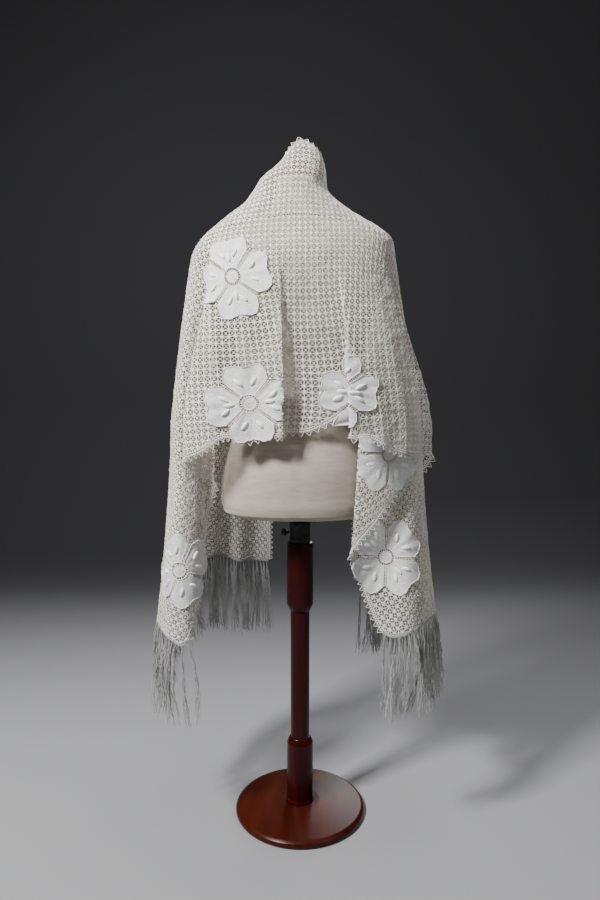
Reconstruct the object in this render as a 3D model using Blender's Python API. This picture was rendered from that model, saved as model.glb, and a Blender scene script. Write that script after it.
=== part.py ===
# A fringed lace stole draped round a limbless dress form on a turned wooden stand.
# Metres, +Z up. The origin is on the floor on the axis of the post, and -Y is the side
# from which the back of the stole is seen.

import math
from collections import namedtuple

import bpy
import numpy as np

GAP = 0.0003  # between pieces that meet

# The cloth
CLOTH_THICKNESS = 0.0016
COLUMN_SPACING = 0.026  # across the strands, along the hem
SHOULDER_HEIGHT = 1.27  # above it the cloth follows the form, below it hangs free
WAIST_HEIGHT = 0.90
LOW_HEIGHT = 0.50
SHOULDER_ROWS = 6
HANGING_ROWS = 6
FOLD_GROWTH = 1.3  # how late the folds open on the way down from the shoulder
LOW_SWING = 1.5  # how late the cloth below the waist swings to its low place
ROUNDNESS = 2.25  # of the level sections, where 2 is an ellipse

# The edging, a row of pointed loops
PICOT_PITCH = 0.020
FRONT_PITCH = 0.028  # of the loops down the two front edges
PICOT_DEPTH = 0.014
RAIL_WIDTH = 0.0026
EDGING_GAP = 0.0008
EDGING_THICKNESS = 0.0015
EDGING_END = 0.0012  # off each end of a length of edging

# The fringe
FRINGE_PITCH = 0.0170
FRINGE_LENGTH = 0.175
FRINGE_HEADING = 0.006
FRINGE_THICKNESS = 0.0024
FRINGE_SWAY = 0.004
FRINGE_SEED = 7

# The flowers
FLOWER_THICKNESS = 0.0014
FLOWER_CUTTER_DEPTH = 0.12
FLOWER_INSET = 0.009  # from a fold under which a flower turns
FLOWER_OVERHANG = (0.007, 0.014)  # rows of a flower that hangs past the edge of the cloth

# The stand
BASE_RADIUS = 0.150
BASE_HEIGHT = 0.024
SLEEVE_RADIUS = 0.030
SLEEVE_CHAMFER = 0.006
LOWER_SLEEVE_TOP = 0.180
POST_RADIUS = 0.0215
UPPER_SLEEVE_BOTTOM = 0.480
UPPER_SLEEVE_TOP = 0.638
COLLAR_RADIUS = 0.024
COLLAR_TOP = 0.688
BORE_RADIUS = 0.0125
BORE_BOTTOM = 0.370
ROD_RADIUS = 0.0120
ROD_BOTTOM = 0.375
KNOB_HEIGHT = 0.660
KNOB_RADIUS = 0.0085
KNOB_LENGTH = 0.018

# The form
TORSO_BOTTOM = 0.704
PLATE_RADIUS = 0.045
NECK_TOP = 1.426
PIPING_RADIUS = 0.0026
FINIAL_TOP = 1.486

Section = namedtuple("Section", "height half_width back front")
TORSO = [
    Section(TORSO_BOTTOM, 0.150, 0.098, 0.086),
    Section(0.709, 0.164, 0.107, 0.096),
    Section(0.722, 0.172, 0.114, 0.103),
    Section(0.755, 0.1757, 0.118, 0.106),
    Section(0.820, 0.1660, 0.121, 0.103),
    Section(0.880, 0.1480, 0.109, 0.098),
    Section(0.930, 0.1320, 0.096, 0.092),
    Section(0.975, 0.1240, 0.088, 0.088),
    Section(1.030, 0.1300, 0.093, 0.097),
    Section(1.090, 0.1410, 0.103, 0.117),
    Section(1.150, 0.1520, 0.1135, 0.136),
    Section(1.205, 0.1620, 0.1182, 0.124),
    Section(1.250, 0.1740, 0.1105, 0.101),
    Section(1.283, 0.1860, 0.093, 0.081),
    Section(1.301, 0.1860, 0.080, 0.066),
    Section(1.316, 0.1620, 0.075, 0.057),
    Section(1.330, 0.1240, 0.072, 0.052),
    Section(1.345, 0.0880, 0.069, 0.050),
    Section(1.362, 0.0640, 0.064, 0.049),
    Section(1.390, 0.0530, 0.058, 0.047),
    Section(NECK_TOP, 0.0500, 0.054, 0.046),
]

# The stole at each height, as it would hang with no folds: how far it reaches each way
Ring = namedtuple("Ring", "height left right back front")
RINGS = [
    Ring(1.500, 0.014, 0.024, 0.022, 0.010),
    Ring(1.482, 0.028, 0.040, 0.034, 0.022),
    Ring(1.455, 0.048, 0.052, 0.050, 0.040),
    Ring(1.430, 0.080, 0.0560, 0.061, 0.052),
    Ring(1.400, 0.101, 0.0600, 0.0660, 0.060),
    Ring(1.375, 0.120, 0.0860, 0.0730, 0.066),
    Ring(1.350, 0.155, 0.1240, 0.0800, 0.074),
    Ring(1.325, 0.186, 0.1700, 0.0880, 0.084),
    Ring(1.303, 0.210, 0.1970, 0.0970, 0.096),
    Ring(1.270, 0.231, 0.2040, 0.1100, 0.112),
    Ring(1.228, 0.239, 0.2120, 0.1180, 0.132),
    Ring(1.144, 0.251, 0.2290, 0.1250, 0.154),
    Ring(1.060, 0.262, 0.2440, 0.1280, 0.164),
    Ring(0.976, 0.272, 0.2640, 0.1290, 0.170),
    Ring(0.900, 0.280, 0.2760, 0.1300, 0.174),
]

# The top edge of the stole, by the turn round the neck in degrees from the middle of the back
Top = namedtuple("Top", "turn height")
TOP_EDGE = [
    Top(-162, 1.335), Top(-140, 1.382), Top(-110, 1.415), Top(-75, 1.448), Top(-40, 1.480),
    Top(-15, 1.494), Top(3, 1.497), Top(25, 1.495), Top(50, 1.486), Top(80, 1.464),
    Top(105, 1.430), Top(130, 1.385), Top(152, 1.335),
]

# The strands of cloth that carry the folds, from the left front edge round the back to the
# right front edge: the turn at the shoulder, the places at waist and low height, and the end.
Strand = namedtuple("Strand", "name turn waist_x waist_y low_x low_y end")


def hang(name, turn, waist, end, low=None):
    low = low or waist
    return Strand(name, turn, waist[0], waist[1], low[0], low[1], end)


STRANDS = [
    hang("left inner edge", -162, (-0.080, 0.168), 0.548, (-0.082, 0.195)),
    hang("left front ridge 1", -153, (-0.108, 0.184), 0.546, (-0.118, 0.214)),
    hang("left front valley 1", -145, (-0.136, 0.165), 0.548, (-0.152, 0.186)),
    hang("left front ridge 2", -137, (-0.168, 0.174), 0.556, (-0.192, 0.212)),
    hang("left front valley 2", -129, (-0.196, 0.144), 0.566, (-0.224, 0.176)),
    hang("left front ridge 3", -119, (-0.232, 0.132), 0.552, (-0.268, 0.168)),
    hang("left side ridge", -107, (-0.262, 0.086), 0.520, (-0.300, 0.116)),
    hang("left side valley", -97, (-0.264, 0.040), 0.494, (-0.300, 0.056)),
    hang("left outline", -87, (-0.282, -0.004), 0.476, (-0.318, 0.004)),
    hang("left outer strip", -78, (-0.275, -0.048), 0.460, (-0.304, -0.048)),
    hang("left strip fold", -70, (-0.252, -0.082), 0.450, (-0.272, -0.092)),
    hang("left corner", -64, (-0.222, -0.066), 0.447, (-0.240, -0.092)),
    hang("left shaded 1", -60, (-0.210, -0.052), 0.550, (-0.221, -0.068)),
    hang("left shaded 2", -57, (-0.202, -0.038), 0.715, (-0.210, -0.048)),
    hang("left under fold", -53, (-0.186, -0.036), 0.786, (-0.190, -0.040)),
    hang("left under layer", -49, (-0.212, -0.072), 0.806),
    hang("left hem corner", -44, (-0.242, -0.108), 0.842),
    hang("back left 1", -38, (-0.206, -0.130), 0.860),
    hang("back left 2", -29, (-0.156, -0.138), 0.892),
    hang("back left 3", -20, (-0.104, -0.140), 0.884),
    hang("back left 4", -14, (-0.064, -0.148), 0.896),
    hang("left pleat tip", -10, (-0.034, -0.154), 0.893),
    hang("left pleat under", -8, (-0.058, -0.129), 0.901),
    hang("centre 1", -4, (-0.024, -0.122), 0.902),
    hang("centre 2", 1, (0.012, -0.123), 0.902),
    hang("centre 3", 6, (0.050, -0.124), 0.918),
    hang("centre 4", 12, (0.086, -0.124), 0.938),
    hang("right pleat under", 18, (0.122, -0.124), 0.936),
    hang("right pleat tip", 23, (0.100, -0.158), 0.893),
    hang("back right 1", 29, (0.142, -0.150), 0.892),
    hang("back right 2", 37, (0.190, -0.132), 0.866),
    hang("back right 3", 45, (0.240, -0.100), 0.850),
    hang("right hem corner", 52, (0.282, -0.060), 0.845),
    hang("right layer 2 outer", 56, (0.252, -0.058), 0.803),
    hang("right layer 2 middle", 60, (0.205, -0.088), 0.776, (0.200, -0.085)),
    hang("right layer 2 inner", 64, (0.158, -0.106), 0.712, (0.155, -0.104)),
    hang("right layer 2 tip", 67, (0.122, -0.109), 0.647, (0.094, -0.106)),
    hang("right layer 3 edge", 70, (0.146, -0.090), 0.600, (0.118, -0.088)),
    hang("right layer 3 inner", 73, (0.176, -0.072), 0.528, (0.150, -0.084)),
    hang("right corner", 76, (0.206, -0.058), 0.467, (0.184, -0.096)),
    hang("right outer fold", 81, (0.240, -0.044), 0.470, (0.226, -0.110)),
    hang("right outer strip", 87, (0.262, -0.022), 0.484, (0.270, -0.076)),
    hang("right outline", 95, (0.271, 0.016), 0.484, (0.306, 0.000)),
    hang("right side valley", 104, (0.268, 0.060), 0.488, (0.294, 0.060)),
    hang("right front ridge 3", 115, (0.258, 0.110), 0.498, (0.286, 0.124)),
    hang("right front valley 2", 124, (0.224, 0.128), 0.504, (0.248, 0.150)),
    hang("right front ridge 2", 133, (0.196, 0.164), 0.500, (0.220, 0.200)),
    hang("right front valley 1", 142, (0.164, 0.156), 0.494, (0.184, 0.178)),
    hang("right inner edge", 152, (0.136, 0.168), 0.490, (0.148, 0.192)),
]

# The stretches of the stole, each from one strand to the next named one
STRETCHES = {
    "stole_left_front": ("left inner edge", "left outline"),
    "stole_left_cascade": ("left outline", "left hem corner"),
    "stole_back": ("left hem corner", "right hem corner"),
    "stole_right_cascade": ("right hem corner", "right outline"),
    "stole_right_front": ("right outline", "right inner edge"),
}

# The sewn-on flowers: the strands that they lie between, the centre, the radius and the tilt
Flower = namedtuple("Flower", "name first last x height radius tilt")
FLOWERS = [
    Flower("flower_shoulder", "left hem corner", "left pleat tip", -0.134, 1.205, 0.088, -32),
    Flower("flower_hem_left", "left hem corner", "left pleat tip", -0.102, 0.957, 0.078, -40),
    Flower("flower_hem_fold", "centre 1", "right pleat under", 0.122, 0.966, 0.074, -49),
    Flower("flower_hem_right", "right pleat tip", "right hem corner", 0.110, 0.968, 0.076, -49),
    Flower("flower_under_right", "right layer 2 outer", "right layer 2 tip", 0.184, 0.850, 0.078, 5),
    Flower("flower_end_right", "right layer 3 edge", "right side valley", 0.182, 0.632, 0.084, 0),
    Flower("flower_end_left", "left outline", "left shaded 1", -0.246, 0.600, 0.074, -20),
]
PETALS = 4
PETAL_POINTS = 5  # to each petal's outline
PETAL_NOTCH = 0.52  # of the radius, between two petals


def clear_scene():
    for thing in list(bpy.data.objects):
        bpy.data.objects.remove(thing, do_unlink=True)


def make_material(name, colour, roughness, metallic=0.0):
    material = bpy.data.materials.new(name)
    material.use_nodes = True
    shader = material.node_tree.nodes["Principled BSDF"]
    shader.inputs["Base Color"].default_value = (*colour, 1.0)
    shader.inputs["Roughness"].default_value = roughness
    shader.inputs["Metallic"].default_value = metallic
    return material


def add_empty(name, location):
    empty = bpy.data.objects.new(name, None)
    empty.location = location
    bpy.context.scene.collection.objects.link(empty)
    return empty


def add_object(name, points, faces, material, parent):
    """An object whose points are given in world space and which hangs from an empty."""
    mesh = bpy.data.meshes.new(name)
    mesh.from_pydata([tuple(map(float, point)) for point in points], [], faces)
    mesh.materials.append(material)
    mesh.shade_smooth()
    mesh.set_sharp_from_angle(angle=math.radians(38))
    thing = bpy.data.objects.new(name, mesh)
    thing.parent = parent
    thing.location = -parent.location
    bpy.context.scene.collection.objects.link(thing)
    return thing


def hermite(knots, values, at):
    """A smooth curve through the values at the knots, read at each place."""
    slopes = np.gradient(values, knots, axis=0)
    at = np.clip(at, knots[0], knots[-1])
    span = np.clip(np.searchsorted(knots, at) - 1, 0, len(knots) - 2)
    width = knots[span + 1] - knots[span]
    part = (at - knots[span]) / width
    if values.ndim > 1:
        width, part = width[..., None], part[..., None]
    start = (1 + 2 * part) * (1 - part) ** 2 * values[span]
    start = start + part * (1 - part) ** 2 * width * slopes[span]
    end = part**2 * (3 - 2 * part) * values[span + 1]
    end = end + part**2 * (part - 1) * width * slopes[span + 1]
    return start + end


def outline(turn, left, right, back, front, roundness=ROUNDNESS):
    """The level section's point at a turn in radians, 0 at the back and positive to the right."""
    across, ahead = np.sin(turn), -np.cos(turn)
    scale = (abs(across) ** roundness + abs(ahead) ** roundness) ** (-1 / roundness)
    width = np.where(across > 0, right, left)
    depth = np.where(ahead > 0, front, back)
    return np.stack([width * across * scale, depth * ahead * scale], axis=-1)


def ring_point(height, turn):
    rings = np.array(RINGS[::-1])
    reach = hermite(rings[:, 0], rings[:, 1:], height)
    return outline(turn, *np.moveaxis(reach, -1, 0))


def strand_columns():
    """The strands and the columns of cloth between them: turn, waist, low and end, and the
    column at which each named strand lies."""
    table = np.array([strand[1:] for strand in STRANDS])
    places = table[:, 1:5]
    steps = np.linalg.norm(np.diff(places, axis=0), axis=1)
    knots = np.concatenate([[0.0], np.cumsum(np.sqrt(steps))])
    lengths = np.maximum(
        np.linalg.norm(np.diff(places[:, :2], axis=0), axis=1),
        np.hypot(np.linalg.norm(np.diff(places[:, 2:], axis=0), axis=1), np.diff(table[:, 5])),
    )
    counts = np.maximum(1, np.round(lengths / COLUMN_SPACING)).astype(int)
    at = [np.linspace(knots[i], knots[i + 1], counts[i], endpoint=False) for i in range(len(counts))]
    at = np.concatenate(at + [knots[-1:]])
    starts = np.concatenate([[0], np.cumsum(counts)])
    index = {strand.name: int(start) for strand, start in zip(STRANDS, starts)}
    return hermite(knots, table, at), index


def strand_heights(columns, beyond=()):
    """The height of each row of each column, and of rows a given way beyond the lower end."""
    tops = np.array(TOP_EDGE)
    top = hermite(tops[:, 0], tops[:, 1], columns[:, 0])[:, None]
    end = columns[:, 5][:, None]
    over = np.linspace(0, 1, SHOULDER_ROWS + 1)[None, :-1]
    down = np.linspace(0, 1, HANGING_ROWS + 1)[None, :]
    past = end - np.array(beyond)[None, :]
    above = top + (SHOULDER_HEIGHT - top) * over
    below = SHOULDER_HEIGHT + (end - SHOULDER_HEIGHT) * down
    return np.concatenate([above, below, past], axis=1)


def cloth_points(columns, heights):
    """The middle surface of the cloth. Below the shoulder each strand swings from the plain
    ring to its own place at the waist, and then on to its place lower down."""
    turn = np.radians(columns[:, 0])[:, None] + 0 * heights
    ring = ring_point(np.maximum(heights, WAIST_HEIGHT), turn)
    waist_ring = ring_point(np.full_like(heights, WAIST_HEIGHT), turn)
    waist = columns[:, None, 1:3]
    low = columns[:, None, 3:5]
    fall = SHOULDER_HEIGHT - WAIST_HEIGHT
    dropped = np.clip((SHOULDER_HEIGHT - heights) / fall, 0, 1)[..., None]
    opened = np.sin(dropped * math.pi / 2) ** FOLD_GROWTH
    upper = ring + (waist - waist_ring) * opened
    below = np.clip(WAIST_HEIGHT - heights, 0, None)[..., None]
    swung = (below / (WAIST_HEIGHT - LOW_HEIGHT)) ** LOW_SWING
    places = np.where(below > 0, waist + (low - waist) * swung, upper)
    return np.concatenate([places, heights[..., None]], axis=-1)


def surface_normals(points):
    """Unit normals of a grid of points, which face away from the body."""
    along = np.gradient(points, axis=0)
    down = np.gradient(points, axis=1)
    normals = np.cross(down, along)
    return normals / np.linalg.norm(normals, axis=-1, keepdims=True)


def add_slab(name, outer, inner, material, parent):
    """A closed wall between two grids of points."""
    across, down = outer.shape[:2]
    points = np.concatenate([outer.reshape(-1, 3), inner.reshape(-1, 3)])
    back = across * down
    faces = []
    for i in range(across - 1):
        for j in range(down - 1):
            a, b = i * down + j, (i + 1) * down + j
            faces += [(a, a + 1, b + 1), (a, b + 1, b)]
            faces += [(back + a, back + b + 1, back + a + 1), (back + a, back + b, back + b + 1)]
    rim = [i * down for i in range(across)]
    rim += [(across - 1) * down + j for j in range(1, down)]
    rim += [i * down + down - 1 for i in range(across - 2, -1, -1)]
    rim += [j for j in range(down - 2, 0, -1)]
    for a, b in zip(rim, rim[1:] + rim[:1]):
        faces += [(a, b, back + b), (a, back + b, back + a)]
    return add_object(name, points, faces, material, parent)


def add_stretch(name, points, normals, material, parent):
    """One stretch of the stole, parted from its neighbours at its first and last column."""
    points = points.copy()
    for edge, beside in ((0, 1), (-1, -2)):
        inward = points[beside] - points[edge]
        points[edge] += inward / np.linalg.norm(inward, axis=-1, keepdims=True) * GAP
    half = normals * CLOTH_THICKNESS / 2
    add_slab(name, points + half, points - half, material, parent)


def resample(path, count):
    """The rows of a path, spaced evenly along its points, which are its first three columns."""
    steps = np.linalg.norm(np.diff(path[:, :3], axis=0), axis=1)
    along = np.concatenate([[0.0], np.cumsum(steps)])
    where = np.linspace(0.0, along[-1], count)
    return np.column_stack([np.interp(where, along, column) for column in path.T]), along[-1]


def edge_path(edge, inside, normals):
    """Points on an edge with their ways off the cloth and their normals."""
    away = edge - inside
    along = np.gradient(edge, axis=0)
    along /= np.linalg.norm(along, axis=-1, keepdims=True)
    away -= along * np.sum(away * along, axis=-1, keepdims=True)
    away /= np.linalg.norm(away, axis=-1, keepdims=True)
    return np.concatenate([edge, away, normals], axis=1)


def trimmed(path, amount):
    """The path with a little taken off each end."""
    path = path.copy()
    for end, beside in ((0, 1), (-1, -2)):
        inward = path[beside, :3] - path[end, :3]
        path[end, :3] += inward / np.linalg.norm(inward) * amount
    return path


def path_point(row, out, side):
    return row[:3] + row[3:6] * out + row[6:9] * side


def runs_backwards(rows):
    """Whether the way along a path, the way off the cloth and the normal are left-handed."""
    return np.dot(np.cross(rows[1][:3] - rows[0][:3], rows[0][3:6]), rows[0][6:9]) < 0


def add_edging(name, path, material, parent, pierced=False, pitch=PICOT_PITCH):
    """A rail with a row of pointed loops, each with its own hole where it is pierced."""
    path = trimmed(path, EDGING_END)
    length = resample(path, 2)[1]
    repeats = max(2, round(length / pitch))
    rows = resample(path, 4 * repeats + 1)[0]
    half = EDGING_THICKNESS / 2
    places = []
    inner, valley, hole_first, hole_last, hole_tip, tip, middle = ({} for _ in range(7))

    def put(group, key, row, out):
        group[key] = len(places)
        places.append((row, out))

    rail_out = EDGING_GAP + RAIL_WIDTH
    for k in range(repeats + 1):
        put(inner, k, rows[4 * k], EDGING_GAP)
        put(valley, k, rows[4 * k], rail_out)
    for k in range(repeats):
        put(middle, k, rows[4 * k + 2], EDGING_GAP)
        put(tip, k, rows[4 * k + 2], PICOT_DEPTH)
        if pierced:
            put(hole_first, k, rows[4 * k + 1], rail_out)
            put(hole_last, k, rows[4 * k + 3], rail_out)
            put(hole_tip, k, rows[4 * k + 2], 0.72 * PICOT_DEPTH)

    flat, rims = [], []
    for k in range(repeats):
        a, b, c = inner[k], middle[k], inner[k + 1]
        v, w, t = valley[k], valley[k + 1], tip[k]
        if pierced:
            p, q, r = hole_first[k], hole_last[k], hole_tip[k]
            flat += [(a, p, v), (a, b, p), (b, q, p), (b, c, q), (c, w, q)]
            flat += [(v, p, r), (v, r, t), (w, t, r), (w, r, q)]
            rims += [(q, p), (p, r), (r, q)]
        else:
            flat += [(a, b, v), (b, t, v), (b, w, t), (b, c, w)]
        rims += [(a, b), (b, c), (w, t), (t, v)]
    rims += [(valley[0], inner[0]), (inner[repeats], valley[repeats])]

    back = len(places)
    points = [path_point(row, out, half) for row, out in places]
    points += [path_point(row, out, -half) for row, out in places]
    faces = list(flat)
    faces += [(back + c, back + b, back + a) for a, b, c in flat]
    for a, b in rims:
        faces += [(b, a, back + a), (b, back + a, back + b)]
    if runs_backwards(rows):
        faces = [face[::-1] for face in faces]
    return add_object(name, points, faces, material, parent)


def add_fringe(name, path, material, parent):
    """A narrow heading with a strand under every other cell of it."""
    rng = np.random.default_rng(FRINGE_SEED)
    path = trimmed(path, EDGING_END)
    length = resample(path, 2)[1]
    strands = round(length / FRINGE_PITCH)
    cells = 2 * strands + 1
    rows = resample(path, cells + 1)[0]
    half = FRINGE_THICKNESS / 2
    points, faces = [], []
    for row in rows:
        for out, side in ((0, half), (FRINGE_HEADING, half), (FRINGE_HEADING, -half), (0, -half)):
            points.append(path_point(row, EDGING_GAP + out, side))
    for k in range(cells):
        a, b = 4 * k, 4 * (k + 1)
        for i, j in ((0, 1), (2, 3), (3, 0)):
            faces += [(a + i, a + j, b + j), (a + i, b + j, b + i)]
        root = [a + 1, a + 2, b + 2, b + 1]
        if k % 2 == 0:
            faces += [(root[0], root[1], root[2]), (root[0], root[2], root[3])]
            continue
        corners = np.array([points[corner] for corner in root])
        centre = corners.mean(axis=0)
        drop = FRINGE_LENGTH * rng.uniform(0.90, 1.04)
        sway = rng.normal(0, FRINGE_SWAY, (2, 2))
        loop = root
        for share, size, move in ((0.45, 0.72, sway[0]), (1.0, 0.55, sway[0] + sway[1])):
            middle = centre + np.array([move[0], move[1], -drop * share])
            level = (corners - centre) * size
            level[:, 2] = 0
            start = len(points)
            points += list(middle + level)
            below = [start + corner for corner in range(4)]
            for i in range(4):
                j = (i + 1) % 4
                faces += [(loop[i], loop[j], below[j]), (loop[i], below[j], below[i])]
            loop = below
        faces += [(loop[0], loop[1], loop[2]), (loop[0], loop[2], loop[3])]
    last = 4 * cells
    faces += [(0, 3, 2), (0, 2, 1), (last, last + 1, last + 2), (last, last + 2, last + 3)]
    return add_object(name, points, faces, material, parent)


def flower_outline(radius, tilt):
    """The outline of a flower of broad petals, each rounded and notched from the next."""
    places = []
    for petal in range(PETALS):
        for step in range(PETAL_POINTS + 1):
            share = step / PETAL_POINTS
            angle = math.radians(tilt) + 2 * math.pi * (petal + 0.03 + 0.94 * share) / PETALS
            swell = PETAL_NOTCH + (1 - PETAL_NOTCH) * math.sin(math.pi * share) ** 0.5
            places.append((radius * swell * math.cos(angle), radius * swell * math.sin(angle)))
    return places


def add_flower(flower, columns, index, material, parent):
    """A flower cut out of a layer that lies just off the cloth, made from the cloth's points."""
    first, last = index[flower.first], index[flower.last]
    heights = strand_heights(columns, beyond=FLOWER_OVERHANG)
    clear = heights[first:last + 1].min(axis=0) > flower.height + flower.radius
    part = (slice(first, last + 1), slice(int(clear.sum()) - 1, None))
    heights, points = heights[part], cloth_points(columns, heights)[part]
    normals = surface_normals(points)
    for edge, beside in ((0, 1), (-1, -2)):
        inward = points[beside] - points[edge]
        width = np.linalg.norm(inward, axis=-1, keepdims=True)
        points[edge] += inward * np.minimum(FLOWER_INSET / width, 0.6)
    bottom = CLOTH_THICKNESS / 2 + GAP
    top = bottom + FLOWER_THICKNESS
    layer = add_slab(flower.name, points + normals * top, points + normals * bottom, material, parent)
    offset = np.hypot(points[..., 0] - flower.x, heights - flower.height)
    near = offset < flower.radius
    facing = normals[near].mean(axis=0)
    facing /= np.linalg.norm(facing)
    right = np.cross((0, 0, 1), facing)
    right /= np.linalg.norm(right)
    up = np.cross(facing, right)
    centre = np.array([flower.x, points[near][:, 1].mean(), flower.height])
    places = flower_outline(flower.radius, flower.tilt)
    ends = []
    for side in (-0.5, 0.5):
        for x, y in places:
            ends.append(centre + right * x + up * y + facing * FLOWER_CUTTER_DEPTH * side)
    count = len(places)
    faces = [tuple(range(count - 1, -1, -1)), tuple(range(count, 2 * count))]
    faces += [(i, (i + 1) % count, count + (i + 1) % count, count + i) for i in range(count)]
    cutter = add_object(flower.name + "_cutter", ends, faces, material, parent)
    cutter.hide_render = True
    cutter.display_type = "WIRE"
    trim = layer.modifiers.new("Petals", "BOOLEAN")
    trim.operation = "INTERSECT"
    trim.object = cutter
    return layer


def build_stole(parent):
    lace = make_material("lace", (0.88, 0.86, 0.80), 0.85)
    edging = make_material("edging", (0.90, 0.88, 0.83), 0.85)
    cambric = make_material("cambric", (0.92, 0.92, 0.90), 0.75)
    threads = make_material("fringe", (0.86, 0.85, 0.82), 0.80)
    columns, index = strand_columns()
    points = cloth_points(columns, strand_heights(columns))
    normals = surface_normals(points)

    for name, (first, last) in STRETCHES.items():
        part = slice(index[first], index[last] + 1)
        add_stretch(name, points[part], normals[part], lace, parent)

    def lower(first, last):
        part = slice(index[first], index[last] + 1)
        return edge_path(points[part, -1], points[part, -2], normals[part, -1])

    lower_edges = {
        "edging_left_cascade": ("left corner", "left hem corner"),
        "edging_back_hem": ("left hem corner", "right hem corner"),
        "edging_right_cascade": ("right hem corner", "right corner"),
    }
    for name, (first, last) in lower_edges.items():
        add_edging(name, lower(first, last), edging, parent, pierced=True)
    neck = edge_path(points[:, 0], points[:, 1], normals[:, 0])
    add_edging("edging_neck", neck, edging, parent)
    left = edge_path(points[0], points[1], normals[0])
    add_edging("edging_left_front", left, edging, parent, pitch=FRONT_PITCH)
    right = edge_path(points[-1], points[-2], normals[-1])
    add_edging("edging_right_front", right, edging, parent, pitch=FRONT_PITCH)

    add_fringe("fringe_left", lower("left inner edge", "left corner"), threads, parent)
    add_fringe("fringe_right", lower("right corner", "right inner edge"), threads, parent)
    for flower in FLOWERS:
        add_flower(flower, columns, index, cambric, parent)


def add_loft(name, sections, sides, material, parent):
    """Level rings joined in turn, with a flat face at the bottom and at the top."""
    turns = np.linspace(-math.pi, math.pi, sides, endpoint=False)
    points, faces = [], []
    for section in sections:
        reach = (section.half_width, section.half_width, section.back, section.front)
        ring = outline(turns, *reach)
        points += [(x, y, section.height) for x, y in ring]
    for k in range(len(sections) - 1):
        for i in range(sides):
            j = (i + 1) % sides
            a, b = k * sides, (k + 1) * sides
            faces += [(a + i, a + j, b + j), (a + i, b + j, b + i)]
    top = (len(sections) - 1) * sides
    for i in range(1, sides - 1):
        faces += [(0, i + 1, i), (top, top + i, top + i + 1)]
    return add_object(name, points, faces, material, parent)


def add_turned(name, profile, sides, material, parent, hollow=False):
    """A turned piece. Its profile of radius and height runs up the outside, and down the bore
    where it is hollow, and is closed on itself or on the axis."""
    points, faces = [], []
    for radius, height in profile:
        for i in range(sides):
            angle = 2 * math.pi * i / sides
            points.append((radius * math.cos(angle), radius * math.sin(angle), height))
    rows = len(profile)
    pairs = [(k, k + 1) for k in range(rows - 1)]
    if hollow:
        pairs.append((rows - 1, 0))
    for a, b in pairs:
        for i in range(sides):
            j = (i + 1) % sides
            p, q, r, s = a * sides + i, a * sides + j, b * sides + j, b * sides + i
            faces += [(p, q, r), (p, r, s)]
    if not hollow:
        top = (rows - 1) * sides
        for i in range(1, sides - 1):
            faces += [(0, i + 1, i), (top, top + i, top + i + 1)]
    return add_object(name, points, faces, material, parent)


def build_form(parent, mast):
    linen = make_material("linen", (0.62, 0.57, 0.48), 0.9)
    red = make_material("piping", (0.45, 0.05, 0.04), 0.7)
    wood = make_material("dark wood", (0.10, 0.03, 0.02), 0.35)
    iron = make_material("black iron", (0.03, 0.03, 0.03), 0.4, 0.8)
    add_loft("torso", TORSO, 26, linen, parent)

    tube = PIPING_RADIUS
    neck = TORSO[-1]
    centre = NECK_TOP + GAP + tube
    piping = []
    for angle in (-90, -20, 45, 110, 180):
        out = tube * math.cos(math.radians(angle)) - 2 * tube
        piping.append((out, centre + tube * math.sin(math.radians(angle))))
    turns = np.linspace(-math.pi, math.pi, 24, endpoint=False)
    points, faces = [], []
    for out, height in piping:
        reach = (neck.half_width + tube + out,) * 2 + (neck.back + tube + out, neck.front + tube + out)
        points += [(x, y, height) for x, y in outline(turns, *reach)]
    rows, sides = len(piping), len(turns)
    for k in range(rows):
        for i in range(sides):
            a, b, j = k * sides, (k + 1) % rows * sides, (i + 1) % sides
            faces += [(a + i, a + j, b + j), (a + i, b + j, b + i)]
    add_object("neck_piping", points, faces, red, parent)

    bottom = NECK_TOP + GAP
    cap_top = bottom + 2 * tube + 0.004
    finial = [
        (0.040, bottom), (0.040, cap_top - 0.003), (0.036, cap_top), (0.014, cap_top + 0.003),
        (0.010, cap_top + 0.010), (0.014, cap_top + 0.017), (0.020, cap_top + 0.030),
        (0.0205, cap_top + 0.040), (0.016, FINIAL_TOP - 0.006), (0.008, FINIAL_TOP),
    ]
    add_turned("neck_finial", finial, 16, wood, parent)

    plate_top = TORSO_BOTTOM - GAP
    plate = [
        (ROD_RADIUS + GAP, plate_top - 0.004), (PLATE_RADIUS, plate_top - 0.004),
        (PLATE_RADIUS, plate_top), (ROD_RADIUS + GAP, plate_top),
    ]
    add_turned("form_plate", plate, 20, iron, parent, hollow=True)
    rod = [(ROD_RADIUS, ROD_BOTTOM), (ROD_RADIUS, plate_top - GAP)]
    add_turned("mast_rod", rod, 20, iron, mast)


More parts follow.
